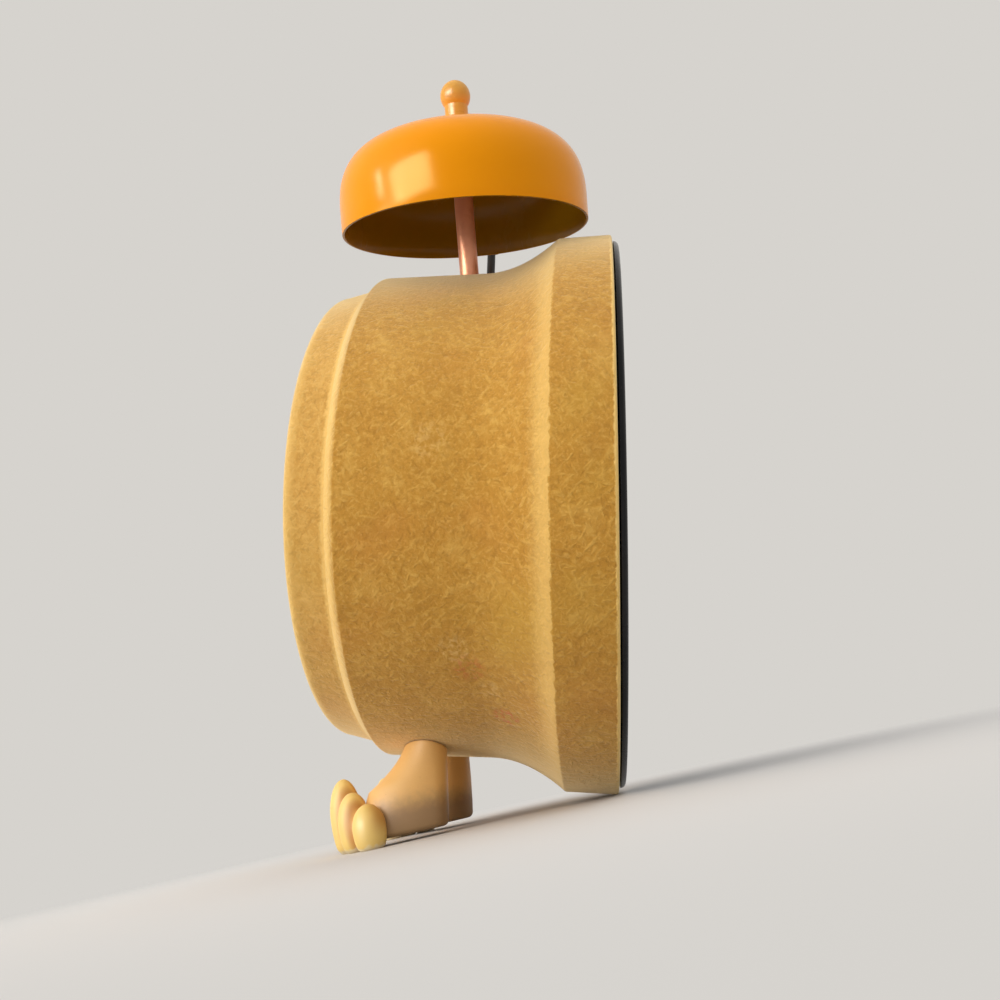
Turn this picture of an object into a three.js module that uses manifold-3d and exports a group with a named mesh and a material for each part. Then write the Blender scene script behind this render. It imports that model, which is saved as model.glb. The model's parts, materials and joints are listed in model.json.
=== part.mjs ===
// A twin bell alarm clock: a flocked drum case on two paw feet, leaning back on its rear rim.
// Millimetres, +Z up, the dial faces -Y. In the case's own frame the drum's axis is Y and the
// rear edge of the rim is at y = 0. Clockwise, seen from the front, is a positive turn about +Y.
import * as THREE from 'three';
import { mergeVertices } from 'three/addons/utils/BufferGeometryUtils.js';
import Module from 'manifold-3d';

const wasm = await Module();
wasm.setup();

// Clearances
const seatGap = 0.3;
const runGap = 0.3;

// How far a cutting tool reaches past the face it cuts, and the welding distance of corners
const overshoot = 1;
const weldDistance = 1e-4;

// Case shell
const rimRadius = 58;
const rimLength = 10.3;
const rimTaper = 0.2;
const rimEdge = 0.6;
const coveLength = 15.1;
const coveBend = 7.6;
const drumRadius = 51.75;
const drumFront = 48.3;
const drumBevelDepth = 2;
const drumBevelLength = 2.1;
const drumBevelSoft = 0.6;
const caseWall = 2.4;
const noseWall = 3.05;
const dialRecess = 2.3;
const dialLedgeWidth = 3.4;
const dialLedgeWall = 2.2;
const leanBack = THREE.MathUtils.degToRad(13);

// Front ring, lens, dial and the spacer between them
const ringLength = 8;
const ringStep = 2.25;
const ringTaper = 1.4;
const ringFaceWidth = 6.5;
const ringRound = 2;
const ringInnerEdge = 0.8;
const ringLipDepth = 1.4;
const lensThickness = 1.5;
const lensDome = 0.9;
const lensSeatWidth = 2.8;
const lensFlat = 1.5;
const domeShares = [0, 0.55, 1];
const dialThickness = 1;
const spacerFlare = 3.4;

// Rear cover
const coverRadius = 56.8;
const coverThickness = 1.6;
const coverEdge = 1;
const coverPlugDepth = 3.6;
const coverPlugWall = 2;
const wellWidth = 62;
const wellHeight = 24;
const wellDepth = 10;
const tubWall = 1.6;
const wellCorner = 8;
const doorWidth = 62;
const doorHeight = 20;
const doorInset = 23.75;
const doorLedge = 1.6;
const doorCorner = 2;
const boxCorner = 1;
const doorPullRadius = 5;
const doorPullDepth = 0.7;
const switchRise = 25;
const switchPocketWidth = 19;
const switchPocketHeight = 9;
const switchPocketDepth = 3.6;
const switchPocketCorner = 1;
const switchSlotCorner = 0.5;
const switchTravel = 4;
const switchCapWidth = 5;
const switchCapHeight = 6.4;
const switchNeckWidth = 3;
const switchNeckHeight = 2.4;
const switchPlateThickness = 1;
const switchPlateHeight = 5;
const switchRibPitch = 1.5;
const switchRibHalf = 0.35;
const switchRibDepth = 0.5;

// Battery and its contacts
const batteryRadius = 7.2;
const batteryLength = 49;
const batteryEdge = 0.6;
const batteryNubRadius = 2.7;
const batteryNubLength = 1.4;
const contactThickness = 0.5;
const contactDepth = 11.5;
const contactSpringLength = 4.6;
const contactSpringTurns = 3;
const contactSpringRadius = 3.2;
const contactSpringWire = 0.35;
const contactSpringTaper = 0.35;
const springTurnFacets = 8;
const springWireFacets = 3;
const contactGap = 0.35;

// Cover screws and their posts in the case
const coverScrewCircle = 45.6;
const coverScrewUpAngle = 55;
const coverScrewDownAngle = -21;
const screwShankRadius = 1.1;
const screwPoint = 1.65;
const screwRecess = 0.5;
const screwHeadRadius = 2.4;
const screwHeadHeight = 1.5;
const screwLength = 13;
const screwSlotWidth = 0.7;
const screwSlotDepth = 0.7;
const postRadius = 3.5;
const postDepth = 20;
const postRibWidth = 2.4;
const coverBossRadius = 3.8;
const coverBossDepth = 4.2;

// Movement housing
const movementWidth = 62;
const movementHeight = 46;
const movementCorner = 5;
const movementWall = 1.5;
const movementDepth = 15.6;
const bushWall = 0.9;
const nutThickness = 1.3;
const nutSize = 13;

// Wheels and arbors of the movement
const toothModule = 0.8;
const wheelThickness = 1.5;
const wheelSpacing = 0.6;
const minutePinionTeeth = 10;
const setWheelTeeth = 30;
const setPinionTeeth = 8;
const hourWheelTeeth = 32;
const alarmPinionTeeth = 8;
const alarmWheelTeeth = 32;
const secondWheelTeeth = 24;
const motorPinionTeeth = 8;
const secondArborRadius = 0.5;
const tubeWall = 0.6;
const setArborRadius = 1.5;
const motorArborRadius = 0.8;
const wheelRimWidth = 1.4;
const wheelHubRadius = 4.6;
const wheelSpokes = 3;
const wheelSpokeWidth = 2.4;

// Hands
const handThickness = 0.4;
const alarmBlade = { hub: 5.6, length: 17, tail: 0, wide: 0.8, narrow: 0.6, widest: 0.8 };
const hourBlade = { hub: 4.6, length: 23, tail: 0, wide: 2.3, narrow: 1, widest: 0.72 };
const minuteBlade = { hub: 3.7, length: 34, tail: 0, wide: 1.9, narrow: 0.9, widest: 0.7 };
const secondBlade = { hub: 2.8, length: 33, tail: 10, wide: 0.5, narrow: 0.9, widest: 0.6 };
const hourHandAngle = 304;
const minuteHandAngle = 48;
const secondHandAngle = 150;
const alarmHandAngle = 210;

// Stepper motor, its drive coil and the circuit board
const motorWidth = 14;
const motorHeight = 9;
const motorThickness = 3;
const motorCorner = 1;
const coilRadius = 2.6;
const coilLength = 20;
const coilFlangeRadius = 3.1;
const coilFlangeThickness = 1;
const coilDrop = 16.6;
const windingInset = 0.4;
const boardWidth = 8.6;
const boardHeight = 30;
const boardThickness = 1;
const boardCorner = 0.5;
const chipRadius = 3;
const chipHeight = 1;

// Setting knobs
const knobRadius = 7;
const knobHeight = 6;
const knobRibs = 12;
const knobRibDepth = 0.5;
const knobBoreDepth = 4;
const knobHollowRadius = 4.9;
const knobHollowDepth = 1;

// Bells, their stems and finials, on an axis that starts at the drum's surface
const bellFootX = 28.4;
const bellFootY = -29.2;
const bellTiltOut = 24.2;
const bellTiltFront = 3;
const bellMouthRadius = 25.2;
const bellAboveRim = 2.45;
const bellHeight = 18.2;
const bellWallHeight = 2.4;
const bellThickness = 0.9;
const bellDomeSquareness = 3.08;
const bellHoleRadius = 1.8;
const bellCrownRadius = 4.4;
const stemRadius = 1.95;
const stemThreadRadius = 1.5;
const stemInside = 9;
const stemBossRadius = 4.2;
const stemBossDepth = 3.4;
const stemNutSize = 6.2;
const stemNutHeight = 2.4;
const washerRadius = 3.6;
const washerThickness = 0.8;
const finialBallRadius = 3.05;
const finialNeckRadius = 2.35;
const finialFootRadius = 3.6;
const finialFootHeight = 1.2;
const finialFlareHeight = 3.2;
const finialNeckHeight = 6.35;
const finialBoreDepth = 5;

// Striking work
const leverAboveMovement = 3;
const hammerSwing = 11;
const hammerRodRadius = 1;
const hammerHeadRise = 22.8;
const hammerHeadRadius = 3.4;
const hammerHeadLength = 10.8;
const hammerHeadEdge = 1.6;
const hammerRodAbove = 1;
const slotCorner = 1;
const leverWidth = 5;
const leverThickness = 4;
const leverLow = 4;
const leverBelowShelf = 4.28;
const leverRodDepth = 6;
const leverCorner = 1;
const pivotPinRadius = 1;
const pivotPinHeadRadius = 2;
const pivotPinHeadLength = 0.8;
const bracketThickness = 1.2;
const bracketLow = 5;
const bracketReachLeft = 9;
const bracketReachRight = 18.5;
const bracketShelfWidth = 15;
const bracketShelfDepth = 11;
const bracketBehind = 3.6;
const magnetWallGap = 1.25;
const magnetCoreRadius = 1.8;
const magnetCoilRadius = 4;
const magnetCoilLength = 9.6;
const magnetFlangeThickness = 0.9;
const magnetPlateThickness = 1.2;
const magnetPlateHeight = 11;
const magnetAirGap = 2.4;
const magnetCoreProud = 0.8;

// Paw feet, in the stand's frame: forward along the foot, sideways and up from the floor
const pawX = 12.6;
const pawY = -49.7;
const pawToeOut = THREE.MathUtils.degToRad(30);
const pawLean = 0.16;
const soleLift = 1.2;
const soleRound = 0.9;
const soleHalfWidth = 6.1;
const heelReach = 4.4;
const soleReach = 12.2;
const toeRootHeight = 4.2;
const instepHeight = 7.6;
const instepReach = 10.6;
const instepFall = 1.1;
const instepWaist = 0.25;
const ankleHeight = 14;
const ankleTop = 22.4;
const ankleReach = 4.5;
const ankleHalfWidth = 4.3;
const toeSpacing = 4.4;
const innerToeForward = 12.7;
const innerToeHeight = 12.9;
const middleToeForward = 12.4;
const middleToeHeight = 10.1;
const outerToeForward = 11;
const outerToeHeight = 7.6;
const toeOverlap = 1;
const toeReach = 3.1;
const toeSink = 1.1;
const pawScrewLength = 12;
const pawScrewPad = 2.2;
const pawPadRadius = 3.4;

// Facet counts
const caseFacets = 36;
const bellFacets = 26;
const pawFacets = 16;
const toeFacets = 8;
const smallFacets = 12;
const tinyFacets = 8;
const coveSteps = 4;
const innerCoveSteps = 2;
const ringRoundSteps = 2;
const bellSteps = 5;
const bellInnerSteps = 4;
const ballSteps = 4;

// Finishes
const flock = { color: 0xc9983f, roughness: 0.95 };
const ringFlock = { color: 0xd0a24a, roughness: 0.95 };
const bellPaint = { color: 0xffa400, roughness: 0.25 };
const copper = { color: 0xc9805c, roughness: 0.3, metalness: 1 };
const pawPaint = { color: 0xe1a555, roughness: 0.45 };
const toePaint = { color: 0xfad782, roughness: 0.45 };
const glossBlack = { color: 0x0b0c10, roughness: 0.12 };
const knobBlack = { color: 0x15161a, roughness: 0.35 };
const switchRed = { color: 0xd9442a, roughness: 0.45 };
const clearLens = { color: 0xf2f6f7, roughness: 0.05 };
const dialPaper = { color: 0xf6f3e8, roughness: 0.6 };
const whitePlastic = { color: 0xe9e7df, roughness: 0.45 };
const darkPlastic = { color: 0x2a2c30, roughness: 0.5 };
const motorGrey = { color: 0x3a4048, roughness: 0.5 };
const boardGreen = { color: 0x2d6b3c, roughness: 0.6 };
const cellSleeve = { color: 0x5c6a58, roughness: 0.35 };
const rubber = { color: 0x1d1d1d, roughness: 0.8 };
const handBlack = { color: 0x161616, roughness: 0.4 };
const handRed = { color: 0xc33a1e, roughness: 0.4 };
const steel = { color: 0xb9bcc0, roughness: 0.35, metalness: 1 };
const brass = { color: 0xc8a24a, roughness: 0.4, metalness: 1 };
const darkSteel = { color: 0x2b2a29, roughness: 0.4, metalness: 1 };
const winding = { color: 0xa9572b, roughness: 0.45, metalness: 0.6 };

// Solids
function outward(geometry) {
  const bare = geometry.clone();
  bare.deleteAttribute('normal');
  bare.deleteAttribute('uv');
  const merged = mergeVertices(bare, weldDistance);
  const at = merged.getAttribute('position');
  const corners = [];
  const a = new THREE.Vector3();
  const b = new THREE.Vector3();
  const c = new THREE.Vector3();
  let volume = 0;
  for (let i = 0; i < merged.index.count; i += 3) {
    const [p, q, r] = [0, 1, 2].map((k) => merged.index.getX(i + k));
    if (p === q || q === r || r === p) continue;
    a.fromBufferAttribute(at, p);
    b.fromBufferAttribute(at, q);
    c.fromBufferAttribute(at, r);
    volume += a.dot(b.cross(c));
    corners.push([p, q, r]);
  }
  const turned = corners.map(([p, q, r]) => (volume < 0 ? [p, r, q] : [p, q, r]));
  const out = new THREE.BufferGeometry();
  out.setAttribute('position', at.clone());
  out.setIndex(turned.flat());
  return out;
}

function toManifold(geometry) {
  const closed = outward(geometry);
  return new wasm.Manifold(new wasm.Mesh({
    numProp: 3,
    vertProperties: new Float32Array(closed.getAttribute('position').array),
    triVerts: new Uint32Array(closed.index.array),
  }));
}

function toGeometry(manifold) {
  const mesh = manifold.getMesh();
  const out = new THREE.BufferGeometry();
  out.setAttribute('position', new THREE.BufferAttribute(new Float32Array(mesh.vertProperties), 3));
  out.setIndex(new THREE.BufferAttribute(new Uint32Array(mesh.triVerts), 1));
  return out;
}

function joined(...parts) {
  return toGeometry(parts.map(toManifold).reduce((sum, next) => sum.add(next)));
}

function cut(body, ...tools) {
  return toGeometry(tools.map(toManifold).reduce((rest, tool) => rest.subtract(tool), toManifold(body)));
}

function common(first, second) {
  return toGeometry(toManifold(first).intersect(toManifold(second)));
}

// Forms. Each is made on the Y axis, as a lathe turns it.
function turned(outline, facets) {
  return outward(new THREE.LatheGeometry(outline.map(([r, y]) => new THREE.Vector2(r, y)), facets));
}

function rod(radius, from, to, facets = smallFacets) {
  return turned([[0, from], [radius, from], [radius, to], [0, to]], facets);
}

function tube(inner, outer, from, to, facets = smallFacets) {
  return turned([[inner, from], [outer, from], [outer, to], [inner, to], [inner, from]], facets);
}

function plate(shape, back, thickness, curveSegments = 2) {
  const slab = new THREE.ExtrudeGeometry(shape, { depth: thickness, bevelEnabled: false, curveSegments });
  slab.rotateX(Math.PI / 2);
  slab.translate(0, back, 0);
  return outward(slab);
}

function moved(geometry, x, y, z) {
  return geometry.clone().translate(x, y, z);
}

// Lays a form made on the Y axis along X
function alongX(geometry) {
  return geometry.clone().rotateZ(-Math.PI / 2);
}

function block(x0, x1, y0, y1, z0, z1) {
  const box = new THREE.BoxGeometry(x1 - x0, y1 - y0, z1 - z0);
  return outward(box.translate((x0 + x1) / 2, (y0 + y1) / 2, (z0 + z1) / 2));
}

function roundedRect(width, height, corner, x = 0, z = 0) {
  const [w, h] = [width / 2, height / 2];
  const shape = new THREE.Shape();
  shape.moveTo(x - w + corner, z - h);
  shape.lineTo(x + w - corner, z - h);
  shape.absarc(x + w - corner, z - h + corner, corner, -Math.PI / 2, 0);
  shape.absarc(x + w - corner, z + h - corner, corner, 0, Math.PI / 2);
  shape.absarc(x - w + corner, z + h - corner, corner, Math.PI / 2, Math.PI);
  shape.absarc(x - w + corner, z - h + corner, corner, Math.PI, Math.PI * 1.5);
  shape.closePath();
  return shape;
}

function hexagon(acrossFlats) {
  const corner = acrossFlats / Math.sqrt(3);
  const shape = new THREE.Shape();
  for (let i = 0; i < 6; i += 1) {
    const angle = (i * Math.PI) / 3;
    const point = [corner * Math.cos(angle), corner * Math.sin(angle)];
    if (i === 0) shape.moveTo(...point);
    else shape.lineTo(...point);
  }
  shape.closePath();
  return shape;
}

function mirrored(geometry) {
  return outward(geometry.clone().applyMatrix4(new THREE.Matrix4().makeScale(-1, 1, 1)));
}

// Tooth flanks lean in towards the tip. A wheel with a tooth at `facing` points it that way.
const addendum = 0.7 * toothModule;
const dedendum = 1.05 * toothModule;
const tipShare = 0.11;
const rootShare = 0.27;

function toothed(teeth, facing) {
  const pitchRadius = (teeth * toothModule) / 2;
  const step = (Math.PI * 2) / teeth;
  const [tip, root] = [pitchRadius + addendum, pitchRadius - dedendum];
  const corners = [];
  for (let i = 0; i < teeth; i += 1) {
    const middle = facing + i * step;
    corners.push([root, middle - rootShare * step], [tip, middle - tipShare * step]);
    corners.push([tip, middle + tipShare * step], [root, middle + rootShare * step]);
  }
  const points = corners.map(([r, angle]) => new THREE.Vector2(r * Math.cos(angle), r * Math.sin(angle)));
  return new THREE.Shape(points);
}

function pitchDistance(first, second) {
  return ((first + second) * toothModule) / 2;
}

// A wheel with round-ended windows between its spokes
function spokedWheel(teeth, facing, back) {
  const shape = toothed(teeth, facing);
  const outer = (teeth * toothModule) / 2 - dedendum - wheelRimWidth;
  for (let i = 0; i < wheelSpokes && outer > wheelHubRadius + wheelRimWidth; i += 1) {
    const half = Math.PI / wheelSpokes;
    const middle = (i * 2 + 1) * half;
    const outerHalf = half - Math.asin(wheelSpokeWidth / 2 / outer);
    const innerHalf = half - Math.asin(wheelSpokeWidth / 2 / wheelHubRadius);
    const window = new THREE.Path();
    window.absarc(0, 0, outer, middle - outerHalf, middle + outerHalf, false);
    window.absarc(0, 0, wheelHubRadius, middle + innerHalf, middle - innerHalf, true);
    window.closePath();
    shape.holes.push(window);
  }
  return plate(shape, back, wheelThickness, 2);
}

// The object
const clock = new THREE.Group();
const casing = new THREE.Group();
casing.rotation.x = -leanBack;
const feet = new THREE.Group();
clock.add(casing, feet);

function piece(name, geometry, parent, finish) {
  const mesh = new THREE.Mesh(geometry, new THREE.MeshStandardMaterial(finish));
  mesh.geometry.computeVertexNormals();
  mesh.name = name;
  parent.add(mesh);
  return mesh;
}

// Case shell: rim, cove and drum turned as one wall, with a ledge for the dial inside
const rimFrontRadius = rimRadius - rimTaper;
const coveFront = rimLength + coveLength;
function coveCurve(inset, steps) {
  return new THREE.QuadraticBezierCurve(
    new THREE.Vector2(rimFrontRadius - inset, -rimLength),
    new THREE.Vector2(drumRadius - inset, -rimLength - coveBend),
    new THREE.Vector2(drumRadius - inset, -coveFront),
  ).getPoints(steps).map((point) => [point.x, point.y]);
}

const drumNoseRadius = drumRadius - drumBevelDepth;
const bevelBack = drumFront - drumBevelLength;
const outerOutline = [
  [rimRadius - rimEdge, 0],
  [rimRadius, -rimEdge],
  ...coveCurve(0, coveSteps),
  [drumRadius, -bevelBack + drumBevelSoft],
  [drumRadius - drumBevelSoft, -bevelBack - drumBevelSoft],
  [drumNoseRadius, -drumFront],
];
const mouthRadius = drumNoseRadius - noseWall;
const dialLedgeRadius = mouthRadius - dialLedgeWidth;
const dialBack = dialRecess - drumFront;
const ledgeFront = dialBack + seatGap;
const ledgeBack = ledgeFront + dialLedgeWall;
const rimBoreRadius = rimRadius - rimEdge - caseWall;
const shellOutline = [
  ...outerOutline,
  [mouthRadius, -drumFront],
  [mouthRadius, ledgeFront],
  [dialLedgeRadius, ledgeFront],
  [dialLedgeRadius, ledgeBack],
  [drumRadius - caseWall, ledgeBack],
  ...coveCurve(caseWall, innerCoveSteps).reverse().slice(0, -1),
  [rimBoreRadius, -rimLength + caseWall / 2],
  [rimBoreRadius, 0],
  outerOutline[0],
];
const shellTurned = turned(shellOutline, caseFacets);
const wallMiddle = turned([
  [0, 0],
  ...outerOutline.map(([r, y]) => [r - caseWall / 2, y]),
  [0, -drumFront],
], caseFacets);

// Directions and places of the two bells
const tiltOut = THREE.MathUtils.degToRad(bellTiltOut);
const tiltFront = THREE.MathUtils.degToRad(bellTiltFront);
const bellLift = Math.sqrt(drumRadius ** 2 - bellFootX ** 2);

function bellFrame(side) {
  const frame = new THREE.Group();
  frame.position.set(side * bellFootX, bellFootY, bellLift);
  const out = side * Math.sin(tiltOut);
  const axis = new THREE.Vector3(out, -Math.sin(tiltFront), Math.cos(tiltOut)).normalize();
  frame.quaternion.setFromUnitVectors(new THREE.Vector3(0, 1, 0), axis);
  frame.updateMatrix();
  return frame;
}

const sides = [['right', 1], ['left', -1]];

// Screw posts of the cover, and ribs that carry them on the wall
const screwPlaces = [coverScrewUpAngle, coverScrewDownAngle].flatMap((degrees) => {
  const angle = THREE.MathUtils.degToRad(degrees);
  const [across, up] = [coverScrewCircle * Math.cos(angle), coverScrewCircle * Math.sin(angle)];
  return [[across, up], [-across, up]];
});
const coverBack = coverThickness + seatGap;
const postTop = -coverBossDepth - seatGap;
const screwSeat = coverBack - screwRecess - screwHeadHeight;

function screwPost([x, z]) {
  const post = moved(rod(postRadius, -postDepth, postTop, tinyFacets), x, 0, z);
  const ribReach = caseWall + rimRadius - coverScrewCircle;
  const rib = block(0, ribReach, -postDepth, postTop, -postRibWidth / 2, postRibWidth / 2);
  rib.rotateY(-Math.atan2(z, x));
  return common(joined(post, moved(rib, x, 0, z)), wallMiddle);
}

function screwPilot([x, z]) {
  const pilotEnd = screwSeat - screwLength - seatGap * 2;
  return moved(rod(screwShankRadius + seatGap, pilotEnd, overshoot, tinyFacets), x, 0, z);
}

// Bosses inside the wall for the bell stems, square to each stem
function stemBoss(side) {
  const boss = rod(stemBossRadius, -stemBossDepth - caseWall, -caseWall / 2, smallFacets);
  return common(boss.applyMatrix4(bellFrame(side).matrix), wallMiddle);
}

function stemHole(side) {
  const hole = rod(stemRadius + seatGap, -stemInside - stemBossDepth, stemBossRadius, smallFacets);
  return hole.applyMatrix4(bellFrame(side).matrix);
}

// Pads inside the wall for the paw screws, which stand along the case's Z
const stand = { cos: Math.cos(leanBack), sin: Math.sin(leanBack) };
const floorHeight = Math.min(...outerOutline.map(([r, y]) => -y * stand.sin - r * stand.cos));
const drumBottomAtPaw = -Math.sqrt(drumRadius ** 2 - pawX ** 2);
const ankleAxisY = pawY + pawLean * ankleHeight;
const pawScrewY = (ankleAxisY - drumBottomAtPaw * stand.sin) / stand.cos;
const pawPadTop = drumBottomAtPaw + caseWall + pawScrewPad;

function upright(geometry, x, y) {
  return moved(geometry.clone().rotateX(Math.PI / 2), x, y, 0);
}

const drumBody = rod(drumRadius - caseWall / 2, -drumFront, 0, caseFacets);

function pawPad(side) {
  const pad = rod(pawPadRadius, pawPadTop, -rimRadius, tinyFacets);
  return common(upright(pad, side * pawX, pawScrewY), drumBody);
}

function pawHole(side) {
  const hole = rod(screwShankRadius + seatGap, pawPadTop + overshoot, -rimRadius, tinyFacets);
  return upright(hole, side * pawX, pawScrewY);
}

// The slot in the top of the drum that the hammer's rod swings in
const swing = THREE.MathUtils.degToRad(hammerSwing);
const pivotHeight = movementHeight / 2 + leverAboveMovement + leverLow;
const slotHalf = (drumRadius - pivotHeight) * Math.tan(swing) + hammerRodRadius + 2 * runGap;
const slotWidth = hammerRodRadius * 2 + 4 * runGap;
const slotShape = roundedRect(slotHalf * 2, slotWidth, slotCorner, 0, bellFootY);
const hammerSlot = new THREE.ExtrudeGeometry(slotShape, {
  depth: caseWall * 4, bevelEnabled: false, curveSegments: 2,
}).translate(0, 0, drumRadius - caseWall * 2);

const caseShell = cut(
  joined(shellTurned, ...screwPlaces.map(screwPost), ...[1, -1].map(stemBoss), ...[1, -1].map(pawPad)),
  ...screwPlaces.map(screwPilot),
  ...[1, -1].map(stemHole),
  ...[1, -1].map(pawHole),
  hammerSlot,
);
piece('case_shell', caseShell, casing, flock);

// Front ring
const ringRearRadius = drumRadius - ringStep;
const ringFrontRadius = ringRearRadius - ringTaper;
const ringOpeningRadius = ringFrontRadius - ringFaceWidth;
const lensRadius = ringOpeningRadius + lensSeatWidth;
const ringBack = -drumFront - seatGap;
const ringFront = ringBack - ringLength;
const ringLipBack = ringFront + ringLipDepth;
const lensSeatRadius = lensRadius + seatGap;
const lensBack = ringLipBack + seatGap + lensThickness;
const ringNose = new THREE.Path();
ringNose.absarc(ringFrontRadius - ringRound, ringFront + ringRound, ringRound, 0, -Math.PI / 2, true);
const ringOutline = [
  [mouthRadius, ringBack],
  [ringRearRadius, ringBack],
  ...ringNose.getPoints(ringRoundSteps).map((point) => [point.x, point.y]),
  [ringOpeningRadius + ringInnerEdge, ringFront],
  [ringOpeningRadius, ringFront + ringInnerEdge],
  [ringOpeningRadius, ringLipBack],
  [lensSeatRadius, ringLipBack],
  [lensSeatRadius, lensBack],
  [mouthRadius, lensBack],
  [mouthRadius, ringBack],
];
piece('front_ring', turned(ringOutline, caseFacets), casing, ringFlock);

// Lens: a shallow dome of even thickness with a flat edge
function dome(height, edge) {
  const radius = (edge ** 2 + height ** 2) / (2 * height);
  return (r) => Math.sqrt(radius ** 2 - r ** 2) - radius + height;
}

const domeEdge = ringOpeningRadius - lensFlat;
const domeAt = dome(lensDome, domeEdge);
const domeRadii = domeShares.map((share) => share * domeEdge);
const lensFrontFace = lensBack - lensThickness;
piece('lens', turned([
  ...domeRadii.map((r) => [r, lensFrontFace - domeAt(r)]),
  [lensRadius, lensFrontFace],
  [lensRadius, lensBack],
  ...domeRadii.map((r) => [r, lensBack - domeAt(r)]).reverse(),
], caseFacets), casing, clearLens);

// Dial and the spacer that holds the lens off it
const arborTubes = {
  minuteInner: secondArborRadius + runGap,
  minuteOuter: secondArborRadius + runGap + tubeWall,
  hourInner: secondArborRadius + runGap * 2 + tubeWall,
  hourOuter: secondArborRadius + runGap * 2 + tubeWall * 2,
  alarmInner: secondArborRadius + runGap * 3 + tubeWall * 2,
  alarmOuter: secondArborRadius + runGap * 3 + tubeWall * 3,
};
const bushInner = arborTubes.alarmOuter + runGap;
const bushOuter = bushInner + bushWall;
const dialFront = dialBack - dialThickness;
const insertRadius = mouthRadius - seatGap;
piece('dial', tube(bushOuter + seatGap, insertRadius, dialFront, dialBack, caseFacets), casing, dialPaper);

const spacerBack = dialFront - seatGap;
const spacerFront = lensBack + seatGap;
piece('spacer_ring', turned([
  [insertRadius, spacerBack],
  [insertRadius, spacerFront],
  [ringOpeningRadius, spacerFront],
  [ringOpeningRadius - spacerFlare, spacerBack],
  [insertRadius, spacerBack],
], caseFacets), casing, whitePlastic);

// Movement housing: a front plate with the threaded bush, and a tray behind it
const plateBack = dialBack + seatGap + movementWall;
const bushFront = dialFront - seatGap - nutThickness;
const setDistance = pitchDistance(minutePinionTeeth, setWheelTeeth);
const alarmDistance = pitchDistance(alarmPinionTeeth, alarmWheelTeeth);
const motorDistance = pitchDistance(secondWheelTeeth, motorPinionTeeth);
const movementOutline = roundedRect(movementWidth, movementHeight, movementCorner);
const trayFront = plateBack + seatGap;
const trayBack = plateBack + movementDepth;
piece('movement_front', cut(
  joined(
    plate(movementOutline, plateBack, movementWall),
    rod(bushOuter, bushFront, plateBack - movementWall / 2),
  ),
  rod(bushInner, bushFront - overshoot, plateBack + overshoot),
), casing, whitePlastic);

const trayInside = roundedRect(
  movementWidth - movementWall * 2,
  movementHeight - movementWall * 2,
  movementCorner - movementWall,
);
const trayHole = rod(setArborRadius + runGap, trayBack - movementWall * 2, trayBack + overshoot);
piece('movement_back', cut(
  plate(movementOutline, trayBack, trayBack - trayFront),
  plate(trayInside, trayBack - movementWall, movementDepth),
  ...[setDistance, -alarmDistance].map((x) => moved(trayHole, x, 0, 0)),
), casing, darkPlastic);

piece('bush_nut', cut(
  plate(hexagon(nutSize), dialFront - seatGap, nutThickness),
  rod(bushOuter + seatGap, bushFront - overshoot, dialFront + overshoot),
), casing, brass);

// Wheel layers, from the front plate backwards
const layerPitch = wheelThickness + wheelSpacing;
const layerBack = (layer) => plateBack + wheelSpacing + wheelThickness + layer * layerPitch;
const handFront = (order) => bushFront - runGap - handThickness - order * (handThickness + runGap);

// Mesh directions: towards +X for the setting wheel, towards -X for the alarm, up for the motor
const toRight = 0;
const toLeft = Math.PI;
const halfTooth = (teeth) => Math.PI / teeth;

// A wheel on a hollow arbor: the layer is also its hand's place in the stack of hands
function tubeWheel(layer, teeth, facing, inner, outer) {
  const wheel = plate(toothed(teeth, facing), layerBack(layer), wheelThickness);
  const arbor = rod(outer, handFront(layer), layerBack(layer));
  return cut(joined(wheel, arbor), rod(inner, handFront(layer) - overshoot, layerBack(layer) + overshoot));
}

const { alarmInner, alarmOuter, hourInner, hourOuter, minuteInner, minuteOuter } = arborTubes;
piece('alarm_wheel', tubeWheel(0, alarmWheelTeeth, toLeft, alarmInner, alarmOuter), casing, brass);
piece('hour_wheel', tubeWheel(1, hourWheelTeeth, toRight, hourInner, hourOuter), casing, brass);
piece('minute_arbor', tubeWheel(2, minutePinionTeeth, toRight, minuteInner, minuteOuter), casing, steel);

const secondTip = handFront(3) + handThickness / 2;
piece('second_arbor', joined(
  spokedWheel(secondWheelTeeth, Math.PI / 2, layerBack(3)),
  rod(secondArborRadius, secondTip, trayBack - movementWall - seatGap, tinyFacets),
), casing, steel);

// Setting arbors, each with its wheels, reaching back through the cover's well to a knob
const wellFloor = coverThickness + seatGap - wellDepth;
const knobBack = wellFloor + seatGap + knobHeight;
const arborBack = wellFloor + seatGap + knobBoreDepth - seatGap;
const arborFront = plateBack + seatGap;

function settingArbor(x, ...wheels) {
  const arbor = rod(setArborRadius, arborFront, arborBack);
  return moved(joined(arbor, ...wheels), x, 0, 0);
}

piece('set_wheel', settingArbor(
  setDistance,
  spokedWheel(setWheelTeeth, toLeft + halfTooth(setWheelTeeth), layerBack(2)),
  plate(toothed(setPinionTeeth, toLeft + halfTooth(setPinionTeeth)), layerBack(1), wheelThickness),
), casing, brass);

piece('alarm_set_pinion', settingArbor(
  -alarmDistance,
  plate(toothed(alarmPinionTeeth, toRight + halfTooth(alarmPinionTeeth)), layerBack(0), wheelThickness),
), casing, steel);

// Knobs with a ribbed grip and a shallow thumb hollow
function knobShape() {
  const points = [];
  for (let i = 0; i < knobRibs * 4; i += 1) {
    const reach = i % 4 < 2 ? knobRadius : knobRadius - knobRibDepth;
    const angle = (i * Math.PI * 2) / (knobRibs * 4);
    points.push(new THREE.Vector2(reach * Math.cos(angle), reach * Math.sin(angle)));
  }
  return new THREE.Shape(points);
}

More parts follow.
